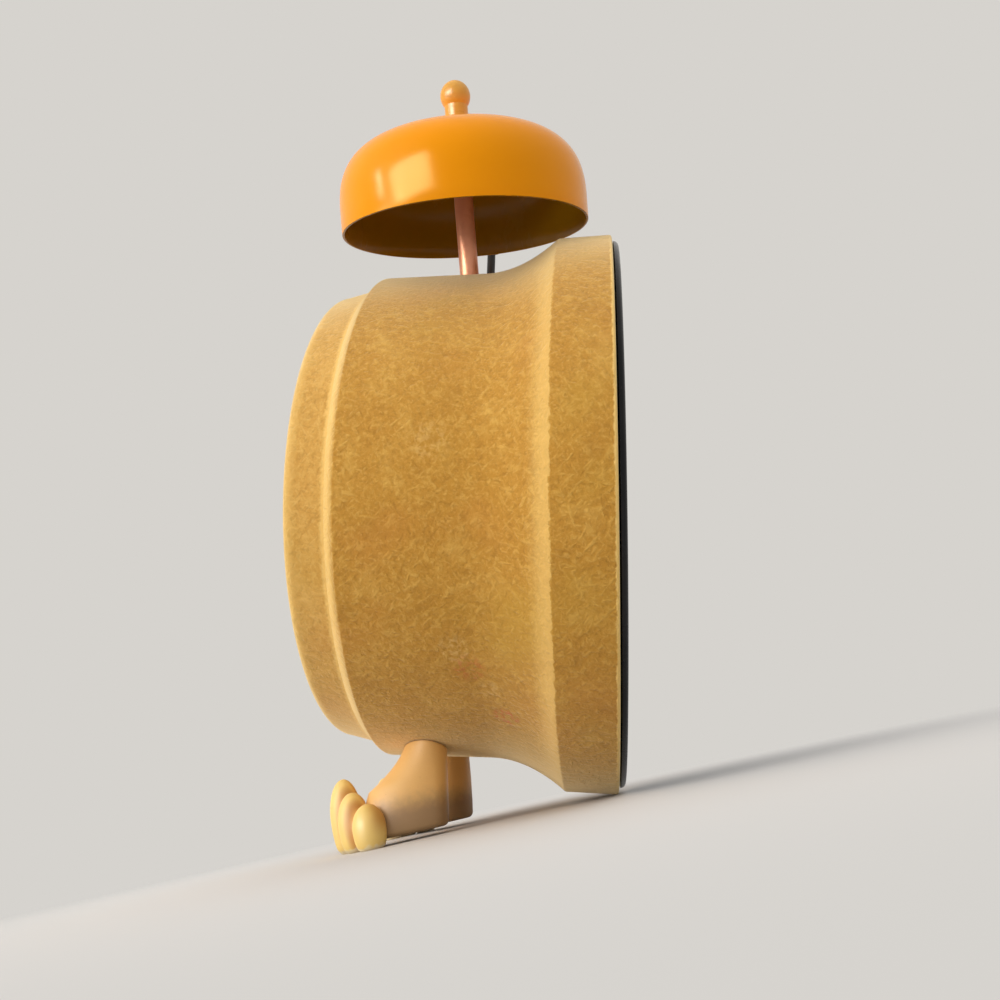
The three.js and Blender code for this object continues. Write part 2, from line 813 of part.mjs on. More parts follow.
function knob(x) {
  const thumbHollow = turned([
    [0, knobBack - knobHollowDepth], [knobHollowRadius, knobBack], [0, knobBack],
  ], smallFacets);
  const bore = rod(setArborRadius + seatGap, wellFloor, arborBack + seatGap);
  return moved(cut(plate(knobShape(), knobBack, knobHeight), thumbHollow, bore), x, 0, 0);
}

piece('time_set_knob', knob(setDistance), casing, knobBlack);
piece('alarm_set_knob', knob(-alarmDistance), casing, knobBlack);

// Hands: a hub and a blade, each pointing at its time
function hand(order, bore, { hub, length, tail, wide, narrow, widest }, degrees) {
  const front = handFront(order);
  const shape = new THREE.Shape([
    [-narrow, -tail], [narrow, -tail], [wide, length * widest], [0, length], [-wide, length * widest],
  ].map(([x, z]) => new THREE.Vector2(x, z)));
  const whole = joined(
    rod(hub, front, front + handThickness),
    plate(shape, front + handThickness, handThickness),
  );
  return cut(whole, bore).rotateY(THREE.MathUtils.degToRad(degrees));
}

function handHole(order, radius) {
  return rod(radius + seatGap, handFront(order) - overshoot, handFront(order) + overshoot);
}

const secondBore = rod(secondArborRadius + seatGap, secondTip - seatGap / 2, 0, tinyFacets);
piece('alarm_hand', hand(0, handHole(0, alarmOuter), alarmBlade, alarmHandAngle), casing, handRed);
piece('hour_hand', hand(1, handHole(1, hourOuter), hourBlade, hourHandAngle), casing, handBlack);
piece('minute_hand', hand(2, handHole(2, minuteOuter), minuteBlade, minuteHandAngle), casing, handBlack);
piece('second_hand', hand(3, secondBore, secondBlade, secondHandAngle), casing, handRed);

// Stepper motor of the second wheel, its drive coil and the board, inside the tray
const trayFloor = trayBack - movementWall;
const motorBack = trayFloor - seatGap;
const motorFacing = halfTooth(motorPinionTeeth) - Math.PI / 2;
piece('motor_pinion', moved(joined(
  plate(toothed(motorPinionTeeth, motorFacing), layerBack(3), wheelThickness),
  rod(motorArborRadius, layerBack(3), motorBack - seatGap, tinyFacets),
), 0, 0, motorDistance), casing, whitePlastic);

const motorBore = rod(
  motorArborRadius + runGap,
  motorBack - motorThickness - overshoot,
  motorBack - seatGap / 2,
  tinyFacets,
);
const motorBody = plate(roundedRect(motorWidth, motorHeight, motorCorner), motorBack, motorThickness);
piece('step_motor', moved(cut(motorBody, motorBore), 0, 0, motorDistance), casing, motorGrey);

function spool(core, wound, flange, length, thickness) {
  return turned([
    [core, 0],
    [flange, 0],
    [flange, thickness],
    [wound, thickness],
    [wound, length - thickness],
    [flange, length - thickness],
    [flange, length],
    [core, length],
    [core, 0],
  ], smallFacets);
}

const driveCoil = spool(motorArborRadius, coilRadius, coilFlangeRadius, coilLength, coilFlangeThickness);
const coilAxisY = trayFloor - seatGap - coilFlangeRadius;
piece('motor_coil', moved(alongX(driveCoil), -coilLength / 2, coilAxisY, -coilDrop), casing, winding);

const boardX = -movementWidth / 2 + movementWall + seatGap + boardWidth / 2;
const boardBack = trayFloor - seatGap;
piece('circuit_board', moved(joined(
  plate(roundedRect(boardWidth, boardHeight, boardCorner), boardBack, boardThickness),
  rod(chipRadius, boardBack - boardThickness - chipHeight, boardBack - boardThickness / 2),
), boardX, 0, 0), casing, boardGreen);

// Rear cover: a thin disc with a plug, a well for the knobs, a switch pocket and the battery box
const plugOuter = rimBoreRadius - seatGap;
const coverDisc = turned([
  [0, seatGap],
  [plugOuter - coverPlugWall, seatGap],
  [plugOuter - coverPlugWall, -coverPlugDepth],
  [plugOuter, -coverPlugDepth],
  [plugOuter, seatGap],
  [coverRadius, seatGap],
  [coverRadius, coverBack - coverEdge],
  [coverRadius - coverEdge / 3, coverBack - coverEdge / 3],
  [coverRadius - coverEdge, coverBack],
  [0, coverBack],
], caseFacets);
const doorDrop = drumRadius - doorInset;
const ledgeLevel = coverBack - coverThickness - seatGap;
const batteryAxisY = ledgeLevel - seatGap - batteryRadius;
const boxFloor = batteryAxisY - batteryRadius - seatGap;
const boxWidth = doorWidth - doorLedge * 2;
const boxHeight = doorHeight - doorLedge * 2;
const switchFloor = coverBack - switchPocketDepth;

function tub(width, height, corner, z, floor) {
  const shape = roundedRect(width + tubWall * 2, height + tubWall * 2, corner + tubWall, 0, z);
  return plate(shape, seatGap * 2, seatGap * 2 - floor + tubWall);
}

function hollow(width, height, corner, z, floor) {
  const back = coverBack + overshoot;
  return plate(roundedRect(width, height, corner, 0, z), back, back - floor);
}

function coverBoss([x, z]) {
  return moved(rod(coverBossRadius, -coverBossDepth, seatGap * 2, tinyFacets), x, 0, z);
}

function coverHole([x, z]) {
  const head = rod(screwHeadRadius + seatGap, screwSeat - seatGap, coverBack + overshoot, smallFacets);
  const shank = rod(screwShankRadius + seatGap, -coverBossDepth - overshoot, screwSeat, tinyFacets);
  return moved(joined(head, shank), x, 0, z);
}

const switchSlot = roundedRect(
  switchTravel + switchNeckWidth + runGap * 2,
  switchNeckHeight + runGap * 2,
  switchSlotCorner,
  0,
  switchRise,
);
const coverArborHole = rod(setArborRadius + runGap, wellFloor - tubWall * 2, 0);
piece('rear_cover', cut(
  joined(
    coverDisc,
    tub(wellWidth, wellHeight, wellCorner, 0, wellFloor),
    tub(doorWidth, doorHeight, doorCorner, -doorDrop, boxFloor),
    tub(switchPocketWidth, switchPocketHeight, switchPocketCorner, switchRise, switchFloor),
    ...screwPlaces.map(coverBoss),
  ),
  hollow(wellWidth, wellHeight, wellCorner, 0, wellFloor),
  hollow(doorWidth, doorHeight, doorCorner, -doorDrop, ledgeLevel),
  hollow(boxWidth, boxHeight, boxCorner, -doorDrop, boxFloor),
  hollow(switchPocketWidth, switchPocketHeight, switchPocketCorner, switchRise, switchFloor),
  plate(switchSlot, coverBack, coverBack - switchFloor + tubWall * 2),
  ...[setDistance, -alarmDistance].map((x) => moved(coverArborHole, x, 0, 0)),
  ...screwPlaces.map(coverHole),
), casing, glossBlack);

// Battery door with a finger hollow, the battery and its contacts
const doorPull = moved(turned([
  [0, coverBack - doorPullDepth],
  [doorPullRadius, coverBack],
  [doorPullRadius, coverBack + overshoot],
  [0, coverBack + overshoot],
], smallFacets), 0, 0, -doorDrop + doorHeight / 2 - doorPullRadius - doorLedge);
const doorShape = roundedRect(doorWidth - seatGap * 2, doorHeight - seatGap * 2, doorCorner, 0, -doorDrop);
piece('battery_door', cut(plate(doorShape, coverBack, coverThickness), doorPull), casing, glossBlack);

const boxEnd = boxWidth / 2;
const batteryMinusX = boxEnd - seatGap - contactThickness - contactSpringLength - contactGap;
const batteryPlusX = batteryMinusX - batteryLength - batteryNubLength;
piece('battery', moved(alongX(turned([
  [0, 0],
  [batteryNubRadius, 0],
  [batteryNubRadius, batteryNubLength],
  [batteryRadius - batteryEdge, batteryNubLength],
  [batteryRadius, batteryNubLength + batteryEdge],
  [batteryRadius, batteryNubLength + batteryLength],
  [0, batteryNubLength + batteryLength],
], smallFacets)), batteryPlusX, batteryAxisY, -doorDrop), casing, cellSleeve);

const contactHeight = boxHeight - doorLedge * 2;
const contactY0 = batteryAxisY - contactDepth / 2;
const plusEnd = -boxEnd + seatGap;
const plusBump = batteryPlusX - contactGap;

function contactPlate(x) {
  const [low, high] = [-doorDrop - contactHeight / 2, -doorDrop + contactHeight / 2];
  return block(x, x + contactThickness, contactY0, contactY0 + contactDepth, low, high);
}

piece('plus_contact', joined(
  contactPlate(plusEnd),
  moved(alongX(rod(batteryNubRadius, 0, plusBump - plusEnd)), plusEnd, batteryAxisY, -doorDrop),
), casing, steel);

// The minus spring: one unbroken wire, wound from its plate towards the battery
class CoilCurve extends THREE.Curve {
  getPoint(t, target = new THREE.Vector3()) {
    const angle = t * contactSpringTurns * Math.PI * 2;
    const radius = contactSpringRadius * (1 - contactSpringTaper * t);
    const along = t * (contactSpringLength - contactSpringWire);
    return target.set(along, radius * Math.cos(angle), radius * Math.sin(angle));
  }
}

const wireSection = new THREE.Shape().absarc(0, 0, contactSpringWire, 0, Math.PI * 2);
const springWire = outward(new THREE.ExtrudeGeometry(wireSection, {
  extrudePath: new CoilCurve(),
  steps: contactSpringTurns * springTurnFacets,
  curveSegments: springWireFacets,
  bevelEnabled: false,
}));
const minusPlateX = boxEnd - seatGap - contactThickness;
piece('minus_contact', joined(
  contactPlate(minusPlateX),
  moved(springWire.rotateY(Math.PI), minusPlateX + contactSpringWire / 2, batteryAxisY, -doorDrop),
), casing, steel);
const springPitch = (contactSpringLength - contactSpringWire) / contactSpringTurns;
const springGap = springPitch - contactSpringWire * 2;
console.log('battery spring: least gap between turns', springGap.toFixed(2), 'mm');

// Alarm switch: a ribbed cap, a neck through the slot and a plate behind it
const switchX = -switchTravel / 2;
const switchCapBack = coverBack - seatGap;
const switchPlateBack = switchFloor - tubWall - runGap;
const switchPlateFront = switchPlateBack - switchPlateThickness;
const switchRibs = [-1, 0, 1].map((i) => {
  const middle = switchX + i * switchRibPitch;
  const [front, back] = [switchCapBack - switchRibDepth, switchCapBack + overshoot];
  const [low, high] = [switchRise - switchCapHeight, switchRise + switchCapHeight];
  return block(middle - switchRibHalf, middle + switchRibHalf, front, back, low, high);
});

function switchBlock(width, height, front, back) {
  const [left, right] = [switchX - width / 2, switchX + width / 2];
  return block(left, right, front, back, switchRise - height / 2, switchRise + height / 2);
}

piece('alarm_switch', cut(
  joined(
    switchBlock(switchCapWidth, switchCapHeight, switchFloor + runGap, switchCapBack),
    switchBlock(switchNeckWidth, switchNeckHeight, switchPlateFront, switchFloor + runGap * 2),
    switchBlock(switchCapWidth, switchPlateHeight, switchPlateFront, switchPlateBack),
  ),
  ...switchRibs,
), casing, switchRed);

// Screws, each with a slot across its head
function screw(length) {
  const top = length + screwHeadHeight;
  const wide = screwHeadRadius + overshoot;
  const body = turned([
    [0, 0],
    [screwShankRadius, screwPoint],
    [screwShankRadius, length],
    [screwHeadRadius, length],
    [screwHeadRadius, top],
    [0, top],
  ], tinyFacets);
  return cut(body, block(
    -wide, wide, top - screwSlotDepth, top + overshoot, -screwSlotWidth / 2, screwSlotWidth / 2,
  ));
}

screwPlaces.forEach(([x, z], i) => {
  piece(`cover_screw_${i + 1}`, moved(screw(screwLength), x, screwSeat - screwLength, z), casing, steel);
});

// Bells on their stems. Each bell group's Y axis is the stem, from the drum's surface outwards.
const bellMouthHeight = rimRadius - drumRadius + bellAboveRim;
const domeHeight = bellHeight - bellWallHeight;

function bellOutline(inset, steps) {
  const points = [];
  for (let i = 0; i <= steps; i += 1) {
    const angle = (i / steps) * (Math.PI / 2);
    const reach = bellMouthRadius - inset - bellCrownRadius;
    const across = reach * Math.cos(angle) ** (2 / bellDomeSquareness);
    const up = (domeHeight - inset) * Math.sin(angle) ** (2 / bellDomeSquareness);
    points.push([bellCrownRadius + across, bellMouthHeight + bellWallHeight + up]);
  }
  return points;
}

const bellBody = turned([
  [bellMouthRadius - bellThickness, bellMouthHeight],
  [bellMouthRadius, bellMouthHeight],
  ...bellOutline(0, bellSteps),
  [0, bellMouthHeight + bellHeight],
  [0, bellMouthHeight + bellHeight - bellThickness],
  ...bellOutline(bellThickness, bellInnerSteps).reverse(),
  [bellMouthRadius - bellThickness, bellMouthHeight],
], bellFacets);
const bellTop = bellMouthHeight + bellHeight;
const bellUnder = bellTop - bellThickness;
const stemShoulder = bellUnder - seatGap - washerThickness - seatGap;
const finialFoot = bellTop + seatGap;
const ballHeight = finialFoot + finialNeckHeight + Math.sqrt(finialBallRadius ** 2 - finialNeckRadius ** 2);
const bossFace = -stemBossDepth - caseWall;
const nutFace = bossFace - seatGap;
const stemFoot = nutFace - stemNutHeight - 1;
const threadTop = finialFoot + finialBoreDepth - seatGap;
const ballArc = new THREE.Path();
const neckAngle = Math.acos(finialNeckRadius / finialBallRadius);
ballArc.absarc(0, ballHeight, finialBallRadius, -neckAngle, Math.PI / 2, false);
const finialOutline = [
  [0, finialFoot],
  [finialFootRadius, finialFoot],
  [finialFootRadius, finialFoot + finialFootHeight],
  [finialNeckRadius, finialFoot + finialFlareHeight],
  ...ballArc.getPoints(ballSteps).map((point) => [Math.max(point.x, 0), point.y]),
];
finialOutline[finialOutline.length - 1][0] = 0;

const stemOutline = [
  [0, stemFoot],
  [stemThreadRadius, stemFoot],
  [stemThreadRadius, bossFace],
  [stemRadius, bossFace],
  [stemRadius, stemShoulder],
  [stemThreadRadius, stemShoulder],
  [stemThreadRadius, threadTop],
  [0, threadTop],
];
const boreRadius = stemThreadRadius + seatGap;
const washerFoot = stemShoulder + seatGap;

for (const [word, side] of sides) {
  const mount = bellFrame(side);
  casing.add(mount);
  piece(`bell_${word}`, cut(
    bellBody,
    rod(bellHoleRadius, bellUnder - bellWallHeight, bellTop + overshoot),
  ), mount, bellPaint);
  piece(`bell_stem_${word}`, turned(stemOutline, smallFacets), mount, copper);
  piece(`stem_nut_${word}`, cut(
    plate(hexagon(stemNutSize), nutFace, stemNutHeight),
    rod(boreRadius, nutFace - stemNutHeight - overshoot, nutFace + overshoot),
  ), mount, steel);
  piece(`bell_washer_${word}`, tube(
    boreRadius,
    washerRadius,
    washerFoot,
    washerFoot + washerThickness,
  ), mount, rubber);
  piece(`finial_${word}`, cut(
    turned(finialOutline, smallFacets),
    rod(boreRadius, finialFoot - overshoot, finialFoot + finialBoreDepth),
  ), mount, bellPaint);
}

// Striking work, in the plane of the bells: bracket, pivot pin, lever, magnet, rod and head
const strikeY = bellFootY;
const bracketBack = strikeY + leverThickness / 2 + bracketBehind;
const bracketFront = bracketBack - bracketThickness;
const bracketBottom = pivotHeight - bracketLow;
const wallInside = drumRadius - caseWall;
const magnetTop = Math.sqrt(wallInside ** 2 - bracketReachRight ** 2) - magnetWallGap;
const magnetZ = magnetTop - magnetPlateHeight / 2;
const magnetBottom = magnetTop - magnetPlateHeight;
const shelfHalf = bracketShelfWidth / 2;
const shelfTop = Math.sqrt(wallInside ** 2 - shelfHalf ** 2) - seatGap;
const shelfFront = bracketFront - bracketShelfDepth;
const shelfUnder = shelfTop - bracketThickness;
const pinHoleRadius = pivotPinRadius + seatGap;
const pinHole = rod(pinHoleRadius, bracketFront - overshoot, bracketBack + overshoot, tinyFacets);
const [slotFront, slotBack] = [strikeY - slotWidth / 2, strikeY + slotWidth / 2];
piece('hammer_bracket', cut(
  joined(
    block(-bracketReachLeft, bracketReachRight, bracketFront, bracketBack, bracketBottom, magnetTop),
    block(-shelfHalf, shelfHalf, bracketFront, bracketBack, pivotHeight, shelfTop),
    block(-shelfHalf, shelfHalf, shelfFront, bracketFront, shelfUnder, shelfTop),
  ),
  moved(pinHole, 0, 0, pivotHeight),
  block(-slotHalf, slotHalf, slotFront, slotBack, shelfUnder - overshoot, shelfTop + overshoot),
), casing, steel);

const leverBack = strikeY + leverThickness / 2;
const leverFront = strikeY - leverThickness / 2;
const pinFront = leverFront - runGap * 2 - pivotPinHeadLength;
piece('hammer_pivot', moved(joined(
  rod(pivotPinRadius, pinFront, bracketBack + pivotPinHeadLength, tinyFacets),
  rod(pivotPinHeadRadius, pinFront, pinFront + pivotPinHeadLength, tinyFacets),
  rod(pivotPinHeadRadius, leverBack + runGap, bracketFront - seatGap, tinyFacets),
), 0, 0, pivotHeight), casing, steel);

const leverTop = shelfUnder - leverBelowShelf;
const leverBottom = pivotHeight - leverLow;
const leverMiddle = (leverTop + leverBottom) / 2;
const leverShape = roundedRect(leverWidth, leverTop - leverBottom, leverCorner, 0, leverMiddle);
const rodFoot = leverTop - leverRodDepth;
const rodBoreRadius = hammerRodRadius + seatGap;
piece('hammer_lever', cut(
  plate(leverShape, leverBack, leverThickness),
  moved(rod(pivotPinRadius + runGap, leverFront - overshoot, leverBack + overshoot), 0, 0, pivotHeight),
  upright(rod(rodBoreRadius, rodFoot, rodFoot + leverRodDepth + overshoot, tinyFacets), 0, strikeY),
), casing, darkSteel);

const hammerHeadHeight = bellLift + bellMouthHeight * Math.cos(tiltOut) + hammerHeadRise;
const headBottom = hammerHeadHeight - hammerHeadRadius;
const rodTop = hammerHeadHeight + hammerRodAbove;
const hammerRod = rod(hammerRodRadius, rodFoot + seatGap, rodTop, tinyFacets);
piece('hammer_rod', upright(hammerRod, 0, strikeY), casing, darkSteel);

const headHalf = hammerHeadLength / 2;
const hammerHead = alongX(turned([
  [0, -headHalf],
  [hammerHeadRadius - hammerHeadEdge, -headHalf],
  [hammerHeadRadius, -headHalf + hammerHeadEdge],
  [hammerHeadRadius, headHalf - hammerHeadEdge],
  [hammerHeadRadius - hammerHeadEdge, headHalf],
  [0, headHalf],
], smallFacets));
piece('hammer_head', cut(
  moved(hammerHead, 0, strikeY, hammerHeadHeight),
  upright(rod(rodBoreRadius, headBottom - overshoot, rodTop + seatGap, tinyFacets), 0, strikeY),
), casing, darkSteel);

const coreTip = leverWidth / 2 + magnetAirGap;
const spoolStart = coreTip + magnetCoreProud;
const magnetPlateX = spoolStart + magnetCoilLength + seatGap * 2;
const magnetRod = alongX(rod(magnetCoreRadius, coreTip, magnetPlateX + magnetPlateThickness / 2));
const magnetPlateBack = bracketFront - seatGap;
const magnetPlateFront = strikeY - magnetPlateHeight / 2;
const magnetPlateEnd = magnetPlateX + magnetPlateThickness;
piece('magnet_core', joined(
  moved(magnetRod, 0, strikeY, magnetZ),
  block(magnetPlateX, magnetPlateEnd, magnetPlateFront, magnetPlateBack, magnetBottom, magnetTop),
), casing, darkSteel);

const magnetSpool = spool(
  magnetCoreRadius + seatGap,
  magnetCoilRadius - windingInset,
  magnetCoilRadius,
  magnetCoilLength,
  magnetFlangeThickness,
);
piece('magnet_coil', moved(alongX(magnetSpool), spoolStart + seatGap, strikeY, magnetZ), casing, winding);

// Paw feet. The loft's rings lie flat, from the sole up to the ankle inside the drum.
const forward = new THREE.Vector2(Math.sin(pawToeOut), -Math.cos(pawToeOut));
const sideways = new THREE.Vector2(Math.cos(pawToeOut), Math.sin(pawToeOut));

function pawPoint(u, v, w) {
  return new THREE.Vector3(
    pawX + forward.x * u + sideways.x * v,
    pawY + forward.y * u + sideways.y * v + pawLean * w,
    floorHeight + w,
  );
}

// Each ring: its height, its reach to the front and to the rear, and half its width
function ankleRing(share) {
  const waist = instepWaist + (1 - instepWaist) * share;
  return [
    THREE.MathUtils.lerp(instepHeight, ankleHeight, share),
    ankleReach + (instepReach - ankleReach) * (1 - share) ** instepFall,
    heelReach,
    THREE.MathUtils.lerp(soleHalfWidth, ankleHalfWidth, waist),
  ];
}

const pawRings = [
  [soleLift, soleReach - soleRound, heelReach - soleRound, soleHalfWidth - soleRound],
  [soleLift + soleRound, soleReach, heelReach, soleHalfWidth],
  [toeRootHeight, soleReach, heelReach, soleHalfWidth],
  ...[0, 1 / 3, 2 / 3, 1].map(ankleRing),
  [ankleTop, ankleReach, heelReach, ankleHalfWidth],
];

function pawLoft(grow) {
  const vertices = [];
  const triangles = [];
  pawRings.forEach(([height, front, rear, half], ring) => {
    const w = ring === 0 ? height - grow : height;
    for (let i = 0; i < pawFacets; i += 1) {
      const angle = (i * Math.PI * 2) / pawFacets;
      const reach = (Math.cos(angle) > 0 ? front : rear) + grow;
      vertices.push(...pawPoint(reach * Math.cos(angle), (half + grow) * Math.sin(angle), w).toArray());
    }
  });
  const last = pawRings.length - 1;
  for (let k = 0; k < last; k += 1) {
    for (let i = 0; i < pawFacets; i += 1) {
      const [a, b] = [k * pawFacets + i, k * pawFacets + ((i + 1) % pawFacets)];
      triangles.push(a, b, b + pawFacets, a, b + pawFacets, a + pawFacets);
    }
  }
  for (let i = 1; i < pawFacets - 1; i += 1) {
    triangles.push(0, i + 1, i, last * pawFacets, last * pawFacets + i, last * pawFacets + i + 1);
  }
  const loft = new THREE.BufferGeometry();
  loft.setAttribute('position', new THREE.Float32BufferAttribute(vertices, 3));
  loft.setIndex(triangles);
  return outward(loft);
}

const toeRadius = (toeSpacing + toeOverlap) / 2;
const toes = [
  [innerToeForward, -toeSpacing, innerToeHeight],
  [middleToeForward, 0, middleToeHeight],
  [outerToeForward, toeSpacing, outerToeHeight],
];

function toeBall([u, v, height]) {
  const ball = new THREE.SphereGeometry(1, toeFacets, toeFacets / 2 + 2).rotateX(Math.PI / 2);
  const half = (height + toeSink) / 2;
  ball.scale(toeRadius, toeReach, half);
  ball.rotateZ(pawToeOut);
  const at = pawPoint(u, v, 0);
  return outward(ball.translate(at.x, at.y, floorHeight + height - half));
}

const caseClear = turned([
  [0, 0],
  ...outerOutline.map(([r, y]) => [r + seatGap, y]),
  [0, -drumFront],
], caseFacets).rotateX(-leanBack);
const underFloor = block(-rimRadius, rimRadius, -rimRadius * 2, 0, floorHeight - rimRadius, floorHeight);
const pawBoreEnd = pawPadTop - pawScrewLength - seatGap;
const pawBore = rod(screwShankRadius + seatGap, pawPadTop, pawBoreEnd, tinyFacets);
const screwInPaw = upright(pawBore, pawX, pawScrewY).rotateX(-leanBack);
const pawBody = cut(pawLoft(0), caseClear, screwInPaw);
const pawScrewFoot = pawPadTop + seatGap - pawScrewLength;
const toeCap = cut(joined(...toes.map(toeBall)), pawLoft(seatGap), underFloor);

for (const [word, side] of sides) {
  const place = side > 0 ? (geometry) => geometry : mirrored;
  piece(`paw_${word}`, place(pawBody), feet, pawPaint);
  piece(`toes_${word}`, place(toeCap), feet, toePaint);
  const pawScrew = moved(upright(screw(pawScrewLength), side * pawX, pawScrewY), 0, 0, pawScrewFoot);
  piece(`paw_screw_${word}`, pawScrew, casing, steel);
}

// The frame's origin: the middle of the outer box, on the floor
clock.updateMatrixWorld(true);
const extent = new THREE.Box3().setFromObject(clock, true);
clock.position.set(-(extent.min.x + extent.max.x) / 2, -(extent.min.y + extent.max.y) / 2, -extent.min.z);

export default clock;
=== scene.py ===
# %% [markdown]
# # A twin bell alarm clock
#
# The clock's parts already exist as plain solids, which stand in one fixed frame: metres, +Z up,
# the dial towards -Y. This lesson gives them their looks. Pieces that show are modelled again with
# smooth curves, and pieces that hide inside only get a finish.

# %% Load the frame
import json
import math

import bmesh
import bpy
from mathutils import Matrix, Vector


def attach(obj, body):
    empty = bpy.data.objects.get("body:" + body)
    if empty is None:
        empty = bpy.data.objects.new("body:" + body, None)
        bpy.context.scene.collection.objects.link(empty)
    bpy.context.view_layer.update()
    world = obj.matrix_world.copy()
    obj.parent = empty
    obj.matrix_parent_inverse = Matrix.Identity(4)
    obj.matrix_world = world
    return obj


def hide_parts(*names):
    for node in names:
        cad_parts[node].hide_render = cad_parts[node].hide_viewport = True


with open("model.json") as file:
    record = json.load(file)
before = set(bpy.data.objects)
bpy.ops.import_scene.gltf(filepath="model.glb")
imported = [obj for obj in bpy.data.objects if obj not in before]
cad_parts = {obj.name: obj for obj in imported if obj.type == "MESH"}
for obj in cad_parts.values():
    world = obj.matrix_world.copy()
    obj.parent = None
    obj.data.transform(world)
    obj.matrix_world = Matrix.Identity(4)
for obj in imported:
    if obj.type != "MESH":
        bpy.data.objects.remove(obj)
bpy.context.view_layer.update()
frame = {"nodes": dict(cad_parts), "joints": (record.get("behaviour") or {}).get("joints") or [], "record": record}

nodes = frame["nodes"]

# %% [markdown]
# ## The case's own frame
#
# The drum leans back, so nothing on it is square to the world. All of its pieces are easier to
# draw in the drum's own frame: Y runs along its axis from the dial to the back, and y = 0 is the
# rear edge of the rim. The axis and a point on it are those of the joint that turns the minute
# hand. Outlines are drawn in millimetres there, and one matrix carries them into the world.

# %% The case's own frame
MM = 0.001
minute_turn = next(joint for joint in frame["joints"] if joint["name"] == "minute_turn")
drum_centre = Vector(minute_turn["pos_m"])
drum_axis = Vector(minute_turn["axis"]).normalized()
sideways = Vector((1, 0, 0))
upwards = sideways.cross(drum_axis)
case_turn = Matrix((sideways, drum_axis, upwards)).transposed().to_4x4()
in_case = Matrix.Translation(drum_centre) @ case_turn @ Matrix.Scale(MM, 4)
lean_back = math.atan2(-drum_axis.z, drum_axis.y)


def node_box(name, place):
    """The lowest and highest corner of a frame node in a place's own frame."""
    back = place.inverted()
    points = [back @ vertex.co for vertex in nodes[name].data.vertices]
    low = Vector(min(point[axis] for point in points) for axis in range(3))
    high = Vector(max(point[axis] for point in points) for axis in range(3))
    return low, high


print("the case leans back", round(math.degrees(lean_back), 2), "degrees")

# %% [markdown]
# ## The camera
#
# The camera comes first, because it decides what has to look good. It stands low on the clock's
# right side, close to the floor, and looks slightly up. A short distance and a wide lens give the
# strong foreshortening of a close view.

# %% The camera
camera_place = Vector((169.7, -2.42, -53.5))
camera_forward = Vector((-0.9406, -0.1265, 0.3150)).normalized()
camera_up = Vector((0.3159, 0.0130, 0.9487))
sensor_width = 36
focal_length = 28.93

camera_right = camera_forward.cross(camera_up).normalized()
camera_up = camera_right.cross(camera_forward)
camera_turn = Matrix((camera_right, camera_up, -camera_forward)).transposed().to_4x4()
camera_data = bpy.data.cameras.new("camera")
camera_data.sensor_width = sensor_width
camera_data.lens = focal_length
camera_data.clip_start = 1 * MM
camera = bpy.data.objects.new("camera", camera_data)
camera.matrix_world = (
    Matrix.Translation(in_case @ camera_place) @ case_turn @ camera_turn
)
bpy.context.scene.collection.objects.link(camera)
bpy.context.scene.camera = camera
print("camera at", [round(value, 4) for value in camera.matrix_world.translation])

# %% [markdown]
# ## Writing shader nodes
#
# Materials in Blender are graphs. These short helpers keep the graphs readable: `node` adds one
# node and fills its inputs, where an input is either a value or the socket that feeds it. `colour`
# turns a colour as a picture shows it into the linear values that a shader counts with.

# %% Helpers for shader graphs
def colour(red, green, blue):
    """A linear colour from the three values 0 to 255 that a picture shows."""
    def linear(value):
        share = value / 255
        return share / 12.92 if share <= 0.04045 else ((share + 0.055) / 1.055) ** 2.4
    return (linear(red), linear(green), linear(blue), 1)


def feed(tree, socket, value):
    """Links a socket, or sets its value."""
    if isinstance(value, bpy.types.NodeSocket):
        tree.links.new(value, socket)
    else:
        socket.default_value = value


def node(tree, kind, settings=None, **inputs):
    """Adds a shader node. An underscore in an input's name stands for a space."""
    added = tree.nodes.new("ShaderNode" + kind)
    for name, value in (settings or {}).items():
        setattr(added, name, value)
    for name, value in inputs.items():
        feed(tree, added.inputs[name.replace("_", " ")], value)
    return added


def maths(tree, operation, *values, clamp=False):
    """The result of one arithmetic step."""
    added = node(tree, "Math", {"operation": operation, "use_clamp": clamp})
    for socket, value in zip(added.inputs, values):
        feed(tree, socket, value)
    return added.outputs[0]


def times(tree, first, second):
    """The product of two values."""
    return maths(tree, "MULTIPLY", first, second)


def blend(tree, share, first, second):
    """Two colours mixed by a share from 0 to 1."""
    added = node(tree, "Mix", {"data_type": "RGBA"})
    for index, value in zip((0, 6, 7), (share, first, second)):
        feed(tree, added.inputs[index], value)
    return added.outputs[2]


def ramp(tree, value, low, high, bottom=0.0, top=1.0):
    """A value carried smoothly from the range low to high to the range bottom to top."""
    added = node(tree, "MapRange", {"interpolation_type": "SMOOTHSTEP"}, Value=value)
    for name, amount in zip(("From Min", "From Max", "To Min", "To Max"), (low, high, bottom, top)):
        added.inputs[name].default_value = amount
    return added.outputs[0]


def noise(tree, where, size, detail=2.0, roughness=0.5, distortion=0.0):
    """A cloudy pattern whose lumps are about size across, in the units of where."""
    added = node(tree, "TexNoise", Vector=where, Scale=1 / size, Detail=detail)
    added.inputs["Roughness"].default_value = roughness
    added.inputs["Distortion"].default_value = distortion
    return added.outputs["Fac"]


# %% [markdown]
# ## Coordinates in millimetres
#
# Each pattern is measured in millimetres in the frame of the piece that wears it. A Mapping node
# of the Texture kind undoes a place: it takes the world's metres back to the piece's own
# millimetres. Object coordinates serve here, because every piece keeps its origin at the world's.

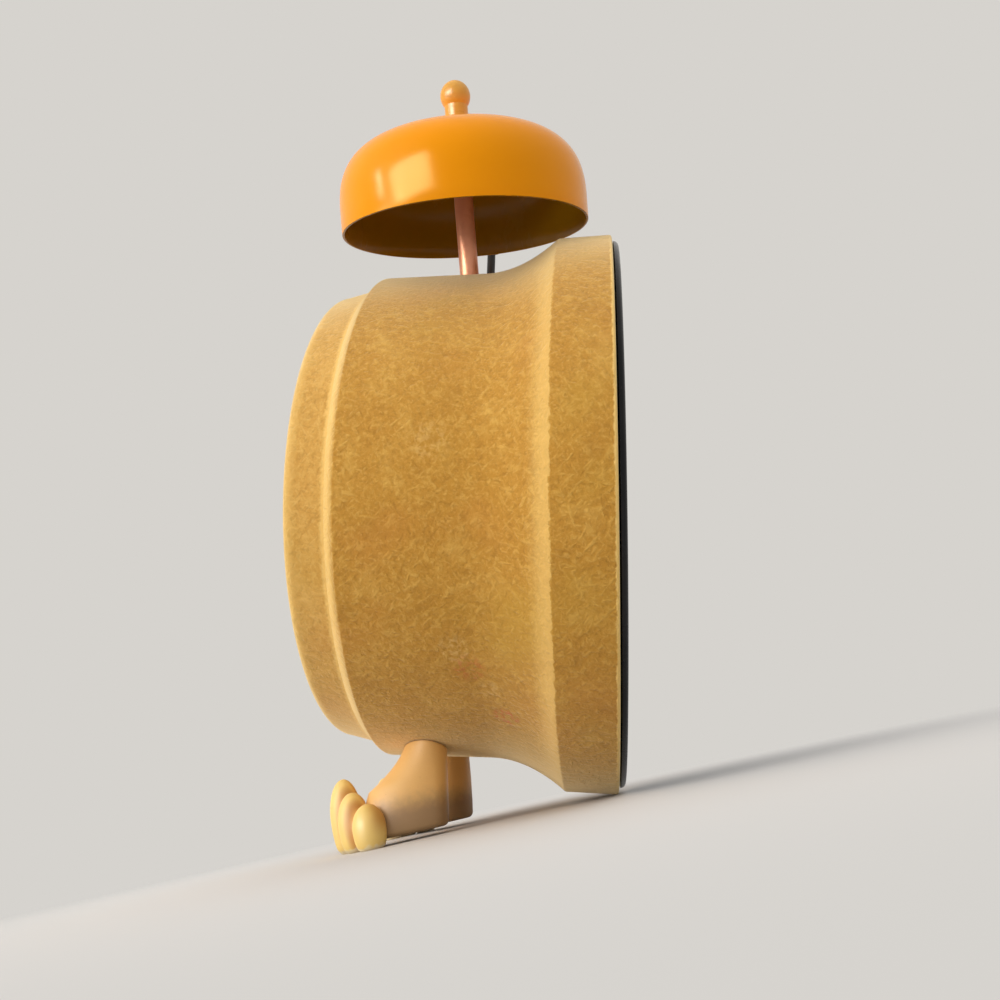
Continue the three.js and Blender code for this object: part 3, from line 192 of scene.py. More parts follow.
# %% Coordinates in millimetres
def coordinates(tree, place):
    """Object coordinates, carried into the millimetres of a place's own frame."""
    where = node(tree, "TexCoord").outputs["Object"]
    mapping = node(tree, "Mapping", {"vector_type": "TEXTURE"}, Vector=where)
    mapping.inputs["Location"].default_value = place.translation
    mapping.inputs["Rotation"].default_value = place.to_euler()
    mapping.inputs["Scale"].default_value = (MM, MM, MM)
    return mapping.outputs[0]


def group(name, inputs, outputs):
    """A new node group with named sockets. Returns the group, its inputs and its outputs."""
    tree = bpy.data.node_groups.new(name, "ShaderNodeTree")
    kinds = {"value": "NodeSocketFloat", "colour": "NodeSocketColor", "vector": "NodeSocketVector"}
    for label, kind in inputs.items():
        tree.interface.new_socket(label, in_out="INPUT", socket_type=kinds[kind])
    for label, kind in outputs.items():
        tree.interface.new_socket(label, in_out="OUTPUT", socket_type=kinds[kind])
    return tree, tree.nodes.new("NodeGroupInput").outputs, tree.nodes.new("NodeGroupOutput").inputs


def use(tree, shared, **inputs):
    """Places a shared group in a material and returns its outputs."""
    return node(tree, "Group", {"node_tree": shared}, **inputs).outputs


def material(name, roughness, **sockets):
    """A new material. Returns it, its node tree and its Principled shader."""
    finish = bpy.data.materials.new(name)
    finish.use_nodes = True
    shader = finish.node_tree.nodes["Principled BSDF"]
    shader.inputs["Roughness"].default_value = roughness
    for label, value in sockets.items():
        shader.inputs[label.replace("_", " ")].default_value = value
    return finish, finish.node_tree, shader.inputs


def bump(tree, height, depth, strength=1.0):
    """The normal of a surface that a pattern raises by depth, in metres."""
    return node(tree, "Bump", Height=height, Distance=depth, Strength=strength).outputs[0]


# %% [markdown]
# ## Flock
#
# The case is sprayed with glue and dusted with short fibres, which stand up like velvet. Hair
# could give them one by one, but it would take hundreds of thousands, so the nap is drawn in the
# material. Seen close, flock is a felt of lit strands and dark gaps that run all ways, over a fine
# speckle, with wider patches where the nap lies one way or the other and the hue drifts. A strand
# is a noise stretched along one direction and cut to its peaks. Four directions together look like
# felt on every side of the drum, and the valleys of the same noises are the gaps between fibres.

# %% The nap of the flock
flock_nap, given, result = group(
    "flock nap",
    {"Where": "vector", "Base": "colour", "Tips": "colour", "Gaps": "colour", "Nap": "value"},
    {"Colour": "colour", "Height": "value"},
)
strand_size = (2.5, 0.85, 0.85)
strand_turns = [(0, 0.3, 1.3), (0, 1.15, 1.5), (0, -0.75, 1.2), (0, 0.2, 0.3)]
strands, gaps = 0.0, 0.0
for turn in strand_turns:
    apart = tuple(9 * angle for angle in turn)
    stretched = node(
        flock_nap, "Mapping", {"vector_type": "TEXTURE"},
        Vector=given["Where"], Location=apart, Rotation=turn, Scale=strand_size,
    ).outputs[0]
    felt = noise(flock_nap, stretched, 1.0, detail=1.5, distortion=0.3)
    strands = maths(flock_nap, "MAXIMUM", strands, ramp(flock_nap, felt, 0.54, 0.76))
    gaps = maths(flock_nap, "MAXIMUM", gaps, ramp(flock_nap, felt, 0.42, 0.26))
grain = noise(flock_nap, given["Where"], 0.45, detail=2, roughness=0.6)
patches = noise(flock_nap, given["Where"], 7, detail=4, roughness=0.6)
drift = noise(flock_nap, given["Where"], 24, detail=2)
shade = blend(flock_nap, times(flock_nap, gaps, given["Nap"]), given["Base"], given["Gaps"])
shade = blend(flock_nap, times(flock_nap, strands, given["Nap"]), shade, given["Tips"])
reddish, greenish = colour(204, 132, 58), colour(200, 157, 60)
for pattern, low, high, most, towards in (
    (grain, 0.5, 0.78, 0.3, given["Tips"]), (grain, 0.5, 0.22, 0.35, given["Gaps"]),
    (patches, 0.5, 0.8, 0.35, given["Tips"]), (patches, 0.48, 0.2, 0.35, given["Gaps"]),
    (drift, 0.52, 0.75, 0.4, reddish), (drift, 0.48, 0.25, 0.4, greenish),
):
    shade = blend(flock_nap, ramp(flock_nap, pattern, low, high, 0, most), shade, towards)
feed(flock_nap, result["Colour"], shade)
raised = maths(flock_nap, "SUBTRACT", strands, times(flock_nap, gaps, 0.6))
feed(flock_nap, result["Height"], maths(flock_nap, "ADD", grain, raised))
print(flock_nap.name, "has", len(flock_nap.nodes), "nodes")

# %% [markdown]
# ## Edges that rub and catch the light
#
# Where the case has an edge all the way round, the nap is rubbed and looks lighter, and the band
# also paints the highlight that the edge catches. Such a band lies at one distance along the axis,
# so it is a mask of the y coordinate alone, made ragged by a noise. It fades over one width towards
# the dial and over another towards the back, because a cove grows lighter slowly up to its edge,
# from wear and from the painted highlight, and then stops.

# %% A ragged band across the axis
rubbed_and_lit_band, given, result = group(
    "rubbed and lit band",
    {"Where": "vector", "Place": "value", "Front": "value", "Rear": "value", "Ragged": "value"},
    {"Mask": "value"},
)
along = node(rubbed_and_lit_band, "SeparateXYZ", Vector=given["Where"]).outputs["Y"]
wobble = maths(rubbed_and_lit_band, "SUBTRACT", noise(rubbed_and_lit_band, given["Where"], 0.9, detail=3), 0.5)
along = maths(rubbed_and_lit_band, "ADD", along, times(rubbed_and_lit_band, wobble, given["Ragged"]))
past = maths(rubbed_and_lit_band, "SUBTRACT", along, given["Place"])
to_front = maths(rubbed_and_lit_band, "DIVIDE", past, given["Front"])
to_rear = maths(rubbed_and_lit_band, "DIVIDE", past, given["Rear"])
front_share = maths(rubbed_and_lit_band, "ADD", to_front, 1.0, clamp=True)
rear_share = maths(rubbed_and_lit_band, "SUBTRACT", 1.0, to_rear, clamp=True)
inside_band = times(rubbed_and_lit_band, front_share, rear_share)
feed(rubbed_and_lit_band, result["Mask"], ramp(rubbed_and_lit_band, inside_band, 0.0, 0.85))
print(rubbed_and_lit_band.name, "has", len(rubbed_and_lit_band.nodes), "nodes")

# %% [markdown]
# ## Scuffs
#
# A drum that is handled has scuffs and smudges in places. A mark is a soft ball round one point,
# broken up by a noise, so it looks brushed on rather than printed.

# %% Scuffs
scuff, given, result = group(
    "scuff", {"Where": "vector", "Centre": "vector", "Reach": "value"}, {"Mask": "value"},
)
distance = node(scuff, "VectorMath", {"operation": "DISTANCE"}).outputs["Value"]
for socket, value in zip(distance.node.inputs, (given["Where"], given["Centre"])):
    feed(scuff, socket, value)
near = maths(scuff, "SUBTRACT", 1.0, maths(scuff, "DIVIDE", distance, given["Reach"]), clamp=True)
broken = ramp(scuff, noise(scuff, given["Where"], 0.9, detail=3, distortion=0.3), 0.42, 0.66)
feed(scuff, result["Mask"], times(scuff, ramp(scuff, near, 0.0, 0.5), broken))
print(scuff.name, "has", len(scuff.nodes), "nodes")

# %% [markdown]
# ## Dust, smears and moulding grain
#
# No plastic or paint is even. A wide noise gives smears that change the gloss, and a fine one
# gives the orange-peel of a moulded or sprayed face.

# %% Moulded and sprayed faces
fine_finish, given, result = group(
    "fine finish",
    {"Where": "vector", "Colour": "colour", "Dust": "colour", "Dusty": "value",
     "Gloss": "value", "Spread": "value", "Peel": "value"},
    {"Colour": "colour", "Roughness": "value", "Height": "value"},
)
smears = noise(fine_finish, given["Where"], 14, detail=5, roughness=0.6, distortion=0.4)
specks = ramp(fine_finish, noise(fine_finish, given["Where"], 0.5, detail=2), 0.66, 0.74)
smeared = times(fine_finish, ramp(fine_finish, smears, 0.4, 0.75), given["Dusty"])
speckled = times(fine_finish, specks, given["Dusty"])
dusty = maths(fine_finish, "ADD", smeared, speckled, clamp=True)
feed(fine_finish, result["Colour"], blend(fine_finish, dusty, given["Colour"], given["Dust"]))
rougher = times(fine_finish, ramp(fine_finish, smears, 0.35, 0.7), given["Spread"])
rough = maths(fine_finish, "ADD", given["Gloss"], rougher, clamp=True)
feed(fine_finish, result["Roughness"], rough)
feed(fine_finish, result["Height"], node(
    fine_finish, "TexNoise", Vector=given["Where"],
    Scale=maths(fine_finish, "DIVIDE", 1.0, given["Peel"]), Detail=2.0,
).outputs["Fac"])
print(fine_finish.name, "has", len(fine_finish.nodes), "nodes")

# %% [markdown]
# ## Turned metal
#
# Stems, rods and screws are turned on a lathe, which leaves fine rings along the axis. The rings
# are a noise that is squeezed along Y: it changes fast along the axis and hardly at all round it.

# %% Turning marks
turning_marks, given, result = group(
    "turning marks",
    {"Where": "vector", "Gloss": "value", "Tarnish": "value", "Metal": "colour", "Dull": "colour"},
    {"Colour": "colour", "Roughness": "value", "Height": "value"},
)
squeezed = node(turning_marks, "Mapping", Vector=given["Where"], Scale=(0.25, 9.0, 0.25)).outputs[0]
rings = noise(turning_marks, squeezed, 1.0, detail=3, roughness=0.7)
stains = noise(turning_marks, given["Where"], 3.5, detail=5, roughness=0.65)
dull = times(turning_marks, ramp(turning_marks, stains, 0.45, 0.7), given["Tarnish"])
feed(turning_marks, result["Colour"], blend(turning_marks, dull, given["Metal"], given["Dull"]))
rough = maths(turning_marks, "ADD", given["Gloss"], times(turning_marks, rings, 0.12))
rough = maths(turning_marks, "ADD", rough, times(turning_marks, dull, 0.3))
feed(turning_marks, result["Roughness"], rough)
feed(turning_marks, result["Height"], rings)
print(turning_marks.name, "has", len(turning_marks.nodes), "nodes")


# %% [markdown]
# ## The finishes
#
# Each finish places the shared groups with its own values. A value that is the same all over goes
# straight to the shader's socket. Flock has sheen, and on top of it the base colour is painted
# paler towards the outline, a painted sheen where one looks along the tips of the fibres.

# %% Flocked finishes
rubbed_and_lit_nap = colour(250, 208, 122)
painted_sheen = colour(255, 222, 150)


def flocked(name, base, tips, gaps, bands, scuffs=()):
    """Flock with its rubbed and lit bands, its scuffs and a painted sheen towards its outline.

    A band is its place, its width to the front and to the rear, its raggedness and its strength.
    A scuff is its centre, its reach, its strength and its colour.
    """
    finish, tree, shader = material(
        name, 0.95, Sheen_Weight=1.0, Sheen_Roughness=0.45, Sheen_Tint=colour(255, 230, 184),
        Specular_IOR_Level=0.1,
    )
    where = coordinates(tree, in_case)
    nap = use(tree, flock_nap, Where=where, Base=base, Tips=tips, Gaps=gaps, Nap=0.36)
    shade = nap["Colour"]
    for place, front, rear, ragged, strength in bands:
        band = use(tree, rubbed_and_lit_band, Where=where, Place=place, Front=front, Rear=rear, Ragged=ragged)
        # Each band lightens the nap where it is rubbed and paints the highlight along the edge.
        shade = blend(tree, times(tree, band["Mask"], strength), shade, rubbed_and_lit_nap)
    for centre, reach, strength, tint in scuffs:
        mark = use(tree, scuff, Where=where, Centre=centre, Reach=reach)
        shade = blend(tree, times(tree, mark["Mask"], strength), shade, tint)
    # Painted sheen: the base colour turns paler where the surface is seen edge on.
    sheen_facing = node(tree, "LayerWeight", Blend=0.5).outputs["Facing"]
    shade = blend(tree, ramp(tree, sheen_facing, 0.5, 1.0, 0, 0.75), shade, painted_sheen)
    feed(tree, shader["Base Color"], shade)
    feed(tree, shader["Normal"], bump(tree, nap["Height"], 0.06 * MM))
    return finish


case_box = node_box("case_shell", in_case)
drum_front = -case_box[0].y
rim_length = 10.3
pale_scuff, red_smudge = colour(235, 194, 120), colour(206, 92, 56)
# The bands on the cove, the rear edge and the nose are rubbed nap and a painted highlight.
case_flock = flocked(
    "case flock", colour(197, 142, 54), colour(236, 190, 98), colour(158, 108, 36),
    [
        (-rim_length - 0.2, 4.2, 0.3, 1.5, 0.5), (-0.3, 0.4, 1.2, 0.8, 1),
        (-drum_front + 0.3, 1.2, 1.9, 1, 0.8),
    ],
    [
        ((37.6, -27, -35.3), 3.6, 0.5, pale_scuff), ((31.7, -21.7, -41.2), 2.6, 0.45, pale_scuff),
        ((35, -25, -38), 3.5, 0.4, red_smudge), ((26.9, -19.3, -45.5), 3, 0.9, red_smudge),
        ((51.4, -30.1, -3.5), 4.4, 0.28, pale_scuff), ((46, -37.3, 23.4), 3.5, 0.3, pale_scuff),
    ],
)
# The ring's bands at its seam and its front round are rubbed nap and a painted highlight.
ring_flock = flocked(
    "ring flock", colour(213, 160, 76), colour(240, 198, 114), colour(174, 126, 52),
    [(-drum_front - 0.1, 1.0, 1.0, 1, 0.75), (-drum_front - 7.6, 1.2, 2.2, 1, 0.4)],
)
print(case_flock.name, "has", len(case_flock.node_tree.nodes), "nodes")


# %% [markdown]
# ## Enamel, paint and moulded plastic
#
# The bells are enamelled, the finials painted, and the cover, knobs and dial are smooth plastic or
# card. They differ only in colour, dust, gloss and orange-peel, so one function dresses them all.
# A warm tint keeps the enamel's reflections yellow where one looks straight at it.

# %% Painted, moulded and glossy finishes
def glossy(name, shade, dust, dusty, gloss, spread, peel, depth=0.01, **sockets):
    """A painted or moulded face: its colours, how dusty and rough it is, and its orange-peel."""
    finish, tree, shader = material(name, gloss, **sockets)
    face = use(
        tree, fine_finish, Where=coordinates(tree, in_case), Colour=shade, Dust=dust,
        Dusty=dusty, Gloss=gloss, Spread=spread, Peel=peel,
    )
    feed(tree, shader["Base Color"], face["Colour"])
    feed(tree, shader["Roughness"], face["Roughness"])
    feed(tree, shader["Normal"], bump(tree, face["Height"], depth * MM))
    return finish


pale_dust = colour(205, 198, 186)
warm_gloss = (1.0, 0.86, 0.45, 1)
bell_enamel = glossy(
    "bell enamel", colour(252, 156, 0), colour(252, 186, 40), 0.04, 0.16, 0.08, 1.2, 0.004,
    Specular_IOR_Level=0.24, Specular_Tint=warm_gloss,
)
# A darker copy of the enamel for the inside of the cup: painted shade.
bell_enamel_shaded = glossy(
    "bell enamel shaded", colour(150, 108, 10), colour(150, 112, 50), 0.2, 0.2, 0.12, 1.2, 0.008,
    Specular_IOR_Level=0.2,
)
finial_paint = glossy(
    "finial paint", colour(232, 164, 50), colour(238, 186, 96), 0.25, 0.24, 0.15, 0.5, 0.008,
)
cover_black = glossy(
    "cover black", colour(12, 12, 15), pale_dust, 0.02, 0.16, 0.14, 2.0, 0.004,
    Specular_IOR_Level=0.2,
)
knob_black = glossy("knob black", colour(24, 25, 28), pale_dust, 0.06, 0.32, 0.14, 0.3, 0.02)
switch_red = glossy("switch red", colour(206, 60, 38), pale_dust, 0.08, 0.35, 0.12, 0.3, 0.02)
white_plastic = glossy(
    "white plastic", colour(232, 228, 216), colour(206, 196, 170), 0.2, 0.35, 0.15, 0.4,
)
dark_plastic = glossy("dark plastic", colour(40, 42, 46), pale_dust, 0.08, 0.42, 0.15, 0.3, 0.02)
dial_card = glossy("dial card", colour(246, 241, 226), colour(232, 220, 190), 0.3, 0.6, 0.1, 0.25)
dial_ink = glossy("dial ink", colour(28, 26, 25), pale_dust, 0.05, 0.5, 0.1, 0.2)
hand_black = glossy("hand black", colour(22, 22, 23), pale_dust, 0.05, 0.3, 0.1, 0.3, 0.005)
hand_red = glossy("hand red", colour(196, 58, 32), pale_dust, 0.05, 0.32, 0.1, 0.3, 0.005)
board_green = glossy("board green", colour(40, 104, 58), colour(96, 120, 70), 0.3, 0.45, 0.1, 0.4)
cell_sleeve = glossy("cell sleeve", colour(84, 104, 84), colour(150, 150, 140), 0.15, 0.3, 0.1, 0.5)
rubber = glossy("rubber", colour(30, 30, 31), pale_dust, 0.12, 0.7, 0.1, 0.2, 0.03)
print(len(bpy.data.materials), "materials so far")


# %% [markdown]
# ## Metals
#
# Screws, rods and wheels are bare metal with the turning marks from above. Each metal has its own
# clean colour and the duller one that it takes where it tarnishes.

# %% Metal finishes
def metal(name, shade, dull, gloss, place=in_case, depth=0.004, metallic=1.0):
    """Turned metal with fine rings and a little tarnish."""
    finish, tree, shader = material(name, gloss, Metallic=metallic)
    face = use(
        tree, turning_marks, Where=coordinates(tree, place), Gloss=gloss, Tarnish=0.3,
        Metal=shade, Dull=dull,
    )
    feed(tree, shader["Base Color"], face["Colour"])
    feed(tree, shader["Roughness"], face["Roughness"])
    feed(tree, shader["Normal"], bump(tree, face["Height"], depth * MM))
    return finish


steel = metal("steel", colour(190, 192, 196), colour(120, 112, 100), 0.22)
dark_steel = metal("dark steel", colour(62, 60, 58), colour(40, 34, 30), 0.3)
brass = metal("brass", colour(206, 168, 84), colour(130, 96, 48), 0.25)
copper_wire = metal("copper wire", colour(176, 92, 46), colour(96, 44, 24), 0.35)
print(len(bpy.data.materials), "materials so far")

# %% [markdown]
# The lens is thin clear plastic. Real refraction would darken the dial behind it and shift it only
# a little, so its shader is a plain one whose alpha grows towards grazing angles: the dial shows
# through it, and its rim still shines.

# %% The clear lens
lens_clear, tree, shader = material("lens clear", 0.03, IOR=1.49)
face = use(
    tree, fine_finish, Where=coordinates(tree, in_case), Colour=colour(150, 156, 156),
    Dust=pale_dust, Dusty=0.1, Gloss=0.02, Spread=0.05, Peel=3.0,
)
feed(tree, shader["Base Color"], face["Colour"])
feed(tree, shader["Roughness"], face["Roughness"])
grazing = node(tree, "LayerWeight", Blend=0.15).outputs["Fresnel"]
feed(tree, shader["Alpha"], maths(tree, "ADD", times(tree, grazing, 0.6), 0.02, clamp=True))
print(lens_clear.name, "has", len(tree.nodes), "nodes")

# %% [markdown]
# ## Painted feet
#
# The feet are painted by hand: the legs tan, the toes cream. The creases between the toes and the
# roots of the toes are darkened as painted shade, the legs grow darker and greyer towards the
# bottom, and the paint wears off along the floor. All are masks in the foot's own frame, where x
# runs forward along the foot, y across it and z up from the floor.

# %% Painted feet
stand = Matrix.Translation(drum_centre) @ Matrix.Scale(MM, 4)
floor_height = -drum_centre.z / MM
paw_x, paw_y = 12.6, -49.7
toe_out = math.radians(30)
toe_spacing = 4.4
sides = (("right", 1), ("left", -1))
darker_below_colour, worn_edge = colour(146, 116, 84), colour(246, 236, 214)
# Each triple is the paint, its dust and the painted shade of its creases.
leg_tans = colour(255, 202, 120), colour(236, 178, 104), colour(150, 98, 52)
toe_creams = colour(250, 213, 122), colour(240, 208, 136), colour(202, 136, 60)


def foot_frame(side):
    """The matrix that carries a foot's frame into the world."""
    turn = Matrix.Rotation(side * toe_out - math.pi / 2, 4, "Z")
    return stand @ Matrix.Translation((side * paw_x, paw_y, floor_height)) @ turn


def foot_paint(name, side, shade, dust, crease, strength, darker_below_share):
    """Satin paint with painted shade in the creases and at the roots of the toes, darker towards the bottom and
    with a worn lower edge.
    """
    finish, tree, shader = material(name, 0.45)
    where = coordinates(tree, foot_frame(side))
    face = use(
        tree, fine_finish, Where=where, Colour=shade, Dust=dust, Dusty=0.35, Gloss=0.42,
        Spread=0.18, Peel=0.8,
    )
    forward, aside, up = node(tree, "SeparateXYZ", Vector=where).outputs
    ragged = noise(tree, where, 1.3, detail=4)
    off_middle = maths(tree, "SUBTRACT", maths(tree, "ABSOLUTE", aside), toe_spacing / 2)
    off_crease = maths(tree, "ABSOLUTE", off_middle)
    # Painted shade: darker in the creases between the toes and behind the toe roots.
    crease_shade = times(tree, ramp(tree, off_crease, 0, 0.9, 1, 0), ramp(tree, forward, 9.5, 11))
    root_shade = times(tree, ramp(tree, forward, 12.4, 9.4, 0, 0.8), ramp(tree, up, 1.5, 5))
    dark = times(tree, maths(tree, "MAXIMUM", crease_shade, root_shade), strength)
    painted = blend(tree, dark, face["Colour"], crease)
    edge = maths(tree, "ADD", up, times(tree, ragged, -1.8))
    # Darker and greyer towards the bottom of the leg.
    painted = blend(tree, ramp(tree, edge, 8.2, 3.2, 0, darker_below_share), painted, darker_below_colour)
    painted = blend(tree, ramp(tree, edge, 0.1, -0.7, 0, 0.6), painted, worn_edge)
    feed(tree, shader["Base Color"], painted)
    feed(tree, shader["Roughness"], face["Roughness"])
    feed(tree, shader["Normal"], bump(tree, face["Height"], 0.02 * MM))
    return finish


paw_paint, toe_paint = {}, {}
for word, side in sides:
    paw_paint[word] = foot_paint(f"paw paint {word}", side, *leg_tans, strength=0.12, darker_below_share=0.85)
    toe_paint[word] = foot_paint(f"toe paint {word}", side, *toe_creams, strength=0.85, darker_below_share=0)
print("the feet have", len(paw_paint) + len(toe_paint), "paints")

# %% [markdown]
# ## Finishes for the plain solids
#
# The record names a material slot for every solid. The movement, the cell and the striking work
# stay as they are and only get the finish of their slot.

# %% Finishes for the plain solids
slot_finish = {
    "case_flock": case_flock, "ring_flock": ring_flock, "lens": lens_clear, "dial": dial_card,
    "white_plastic": white_plastic, "dark_plastic": dark_plastic, "brass": brass, "steel": steel,
    "dark_steel": dark_steel, "winding": copper_wire, "board": board_green,
    "cover_black": cover_black, "knob_black": knob_black, "switch_red": switch_red,
    "cell_sleeve": cell_sleeve, "bell_orange": bell_enamel, "copper": copper_wire,
    "rubber": rubber, "paw_tan": paw_paint["right"], "toe_yellow": toe_paint["right"],
    "hand_black": hand_black, "hand_red": hand_red,
}
solids = frame["record"]["subparts"]
for part in solids:
    slots = nodes[part["node"]].data.materials
    slots.clear()
    slots.append(slot_finish[part["material_slot"]])
print(len(solids), "solids have a finish,", len(bpy.data.materials), "materials")

# %% [markdown]
# ## Turning a piece
#
# Most pieces of the clock are round, so they are turned: an outline of (radius, y) points becomes
# a surface when `spin` carries it once round the Y axis. A Screw modifier could do the same, but
# the next steps cut and round the mesh, so it is better made at once. Points on the axis meet in
# one point, and their doubles are merged. The normals are made to point outwards afterwards.

# %% Helpers for turned pieces
def arc(centre, radius, start, end, steps):
    """Points on an arc, from one angle in degrees to another."""
    angles = [math.radians(start + (end - start) * i / steps) for i in range(steps + 1)]
    return [(centre[0] + radius * math.cos(a), centre[1] + radius * math.sin(a)) for a in angles]


def bend(first, control, last, steps):
    """Points on a quadratic curve."""
    points = []
    for i in range(steps + 1):
        t = i / steps
        pulls = ((1 - t) ** 2, first), (2 * t * (1 - t), control), (t ** 2, last)
        points.append(tuple(sum(pull * point[axis] for pull, point in pulls) for axis in (0, 1)))
    return points


def turned(outline, steps=144, closed=False):
    """A mesh turned about Y from an outline of (radius, y) points."""
    mesh = bmesh.new()
    points = [mesh.verts.new((radius, along, 0)) for radius, along in outline]
    edges = [mesh.edges.new(pair) for pair in zip(points, points[1:])]
    if closed:
        edges.append(mesh.edges.new((points[-1], points[0])))
    bmesh.ops.spin(
        mesh, geom=points + edges, cent=(0, 0, 0), axis=(0, 1, 0),
        angle=math.tau, steps=steps, use_merge=True,
    )
    bmesh.ops.remove_doubles(mesh, verts=mesh.verts, dist=0.002)
    bmesh.ops.recalc_face_normals(mesh, faces=mesh.faces)
    return mesh


def softened(mesh, width, sharper_than=30, segments=3, keep=None):
    """Rounds the edges whose faces meet at more than an angle, but not those that keep picks."""
    limit = math.radians(sharper_than)
    edges = [edge for edge in mesh.edges if edge.is_manifold and edge.calc_face_angle() > limit]
    if keep:
        edges = [edge for edge in edges if not keep(edge.verts[0].co)]
    bmesh.ops.bevel(
        mesh, geom=edges, offset=width, segments=segments, profile=0.5,
        affect="EDGES", material=-1, clamp_overlap=True,
    )
    return mesh


def back_creases(mesh):
    """The edges round the faces that look straight back along Y, which are shaded flat."""
    mesh.normal_update()
    mesh.edges.index_update()
    return [
        edge.index for edge in mesh.edges
        if edge.is_manifold and len({face.normal.y > 0.9999 for face in edge.link_faces}) == 2
    ]


def made(name, mesh, place, body, slot, finishes, *stands_for, smooth_under=35, flat_back=False):
    """Puts a finished mesh in its place as a piece that rides on a body."""
    creases = back_creases(mesh) if flat_back else []
    mesh.transform(place)
    data = bpy.data.meshes.new(name)
    mesh.to_mesh(data)
    mesh.free()
    for finish in finishes:
        data.materials.append(finish)
    data.shade_smooth()
    data.set_sharp_from_angle(angle=math.radians(smooth_under))
    for crease in creases:
        data.edges[crease].use_edge_sharp = True
    piece = bpy.data.objects.new(name, data)
    bpy.context.scene.collection.objects.link(piece)
    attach(piece, body)
    if stands_for:
        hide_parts(*stands_for)
    print(name, len(data.polygons), "faces")
    return piece


def cut(name, mesh, cutters, operation="DIFFERENCE"):
    """Cuts closed meshes out of a mesh, or joins them to it, with an exact boolean."""
    target = bpy.data.objects.new(name + " blank", bpy.data.meshes.new(name))
    mesh.to_mesh(target.data)
    mesh.free()
    bpy.context.scene.collection.objects.link(target)
    tools = []
    for cutter in cutters:
        tool = bpy.data.objects.new(name + " tool", bpy.data.meshes.new(name))
        cutter.to_mesh(tool.data)
        cutter.free()
        bpy.context.scene.collection.objects.link(tool)
        modifier = target.modifiers.new("cut", "BOOLEAN")
        modifier.object = tool
        modifier.operation = operation
        modifier.solver = "EXACT"
        tools.append(tool)
    result = bmesh.new()
    result.from_object(target, bpy.context.evaluated_depsgraph_get())
    for spent in [target, *tools]:
        bpy.data.objects.remove(spent)
    return result


def block(low, high):
    """A plain box between two corners."""
    mesh = bmesh.new()
    size = [b - a for a, b in zip(low, high)]
    middle = [(a + b) / 2 for a, b in zip(low, high)]
    place = Matrix.Translation(middle) @ Matrix.Diagonal((*size, 1))
    bmesh.ops.create_cube(mesh, size=1, matrix=place)
    return mesh


def rounded_block(width, height, corner, front, back, x=0, z=0, segments=6):
    """A box along Y whose four long edges are rounded."""
    mesh = block((x - width / 2, front, z - height / 2), (x + width / 2, back, z + height / 2))
    long_edges = [e for e in mesh.edges if abs(e.verts[0].co.y - e.verts[1].co.y) > 1e-6]
    bmesh.ops.bevel(
        mesh, geom=long_edges, offset=corner, segments=segments, profile=0.5,
        affect="EDGES", material=-1,
    )
    return mesh


def rod(radius, front, back, x=0, z=0, steps=48):
    """A plain round bar along Y."""
    mesh = turned([(0, front), (radius, front), (radius, back), (0, back)], steps)
    bmesh.ops.translate(mesh, verts=mesh.verts, vec=(x, 0, z))
    return mesh


# %% [markdown]
# ## The case shell
#
# Rim, cove and drum are one wall. The outline runs from the rear edge of the rim over the cove to
# the bevelled nose, turns in at the mouth, steps down to the ledge that carries the dial, and goes
# back inside. Its corners are rounded a little, because flock never leaves a sharp edge.

# %% The case shell
rim_radius = case_box[1].x
rim_taper = 0.2
rim_edge = 0.3
cove_length = 15.1
cove_bend = 7.6
drum_radius = 51.75
nose_radius = 49.75
nose_length = 2.1
case_wall = 2.4
mouth_radius = 46.7
dial_seat = 45.7
ledge_radius = 43.3
ledge_back = 43.5


def cove(inset, steps):
    """The hollow curve from the rim down to the drum."""
    return bend(
        (rim_radius - rim_taper - inset, -rim_length),
        (drum_radius - inset, -rim_length - cove_bend),
        (drum_radius - inset, -rim_length - cove_length),
        steps,
    )


shell_outline = [
    (rim_radius - rim_edge, 0),
    (rim_radius, -rim_edge),
    *cove(0, 20),
    (drum_radius, -drum_front + nose_length),
    (nose_radius, -drum_front),
    (mouth_radius, -drum_front),
    (mouth_radius, -dial_seat),
    (ledge_radius, -dial_seat),
    (ledge_radius, -ledge_back),
    (drum_radius - case_wall, -ledge_back),
    *reversed(cove(case_wall, 8)),
    (rim_radius - rim_edge - case_wall, -rim_length + case_wall / 2),
    (rim_radius - rim_edge - case_wall, 0),
]


def at_seam(point):
    """Whether a point lies on the seam between the drum and the ring, which flock closes."""
    return point.y < -drum_front + 1 and point.xz.length > 48


shell = softened(turned(shell_outline, 180, closed=True), 0.45, sharper_than=18, keep=at_seam)
print("the shell without its openings has", len(shell.faces), "faces")

# %% [markdown]
# Three openings go through the wall on top: a round hole under each bell for its stem, and a slot
# that gives the hammer's rod its swing and a little more. The bell's foot and tilt and the swing
# are the frame's own, because the solids inside stand there.

# %% The openings in the case
bell_foot = Vector((28.4, -29.2))
bell_tilt_out = math.radians(24.2)
bell_tilt_front = math.radians(3)
hammer_rod_radius = 1
pivot_height = 30
hammer_swing = math.radians(11)
run_gap = 0.3
slot_half = (drum_radius - pivot_height) * math.tan(hammer_swing) + hammer_rod_radius + 2 * run_gap


def bell_place(side):
    """The matrix that carries a bell's frame, whose Y axis is the stem, into the world."""
    lift = math.sqrt(drum_radius ** 2 - bell_foot.x ** 2)
    axis = Vector((
        side * math.sin(bell_tilt_out), -math.sin(bell_tilt_front), math.cos(bell_tilt_out),
    ))
    turn = Vector((0, 1, 0)).rotation_difference(axis.normalized()).to_matrix().to_4x4()
    return in_case @ Matrix.Translation((side * bell_foot.x, bell_foot.y, lift)) @ turn


def stem_hole(side):
    """A round bar a little wider than the stem, where a bell stands."""
    hole = rod(2.25, -12, 6)
    hole.transform(in_case.inverted() @ bell_place(side))
    return hole


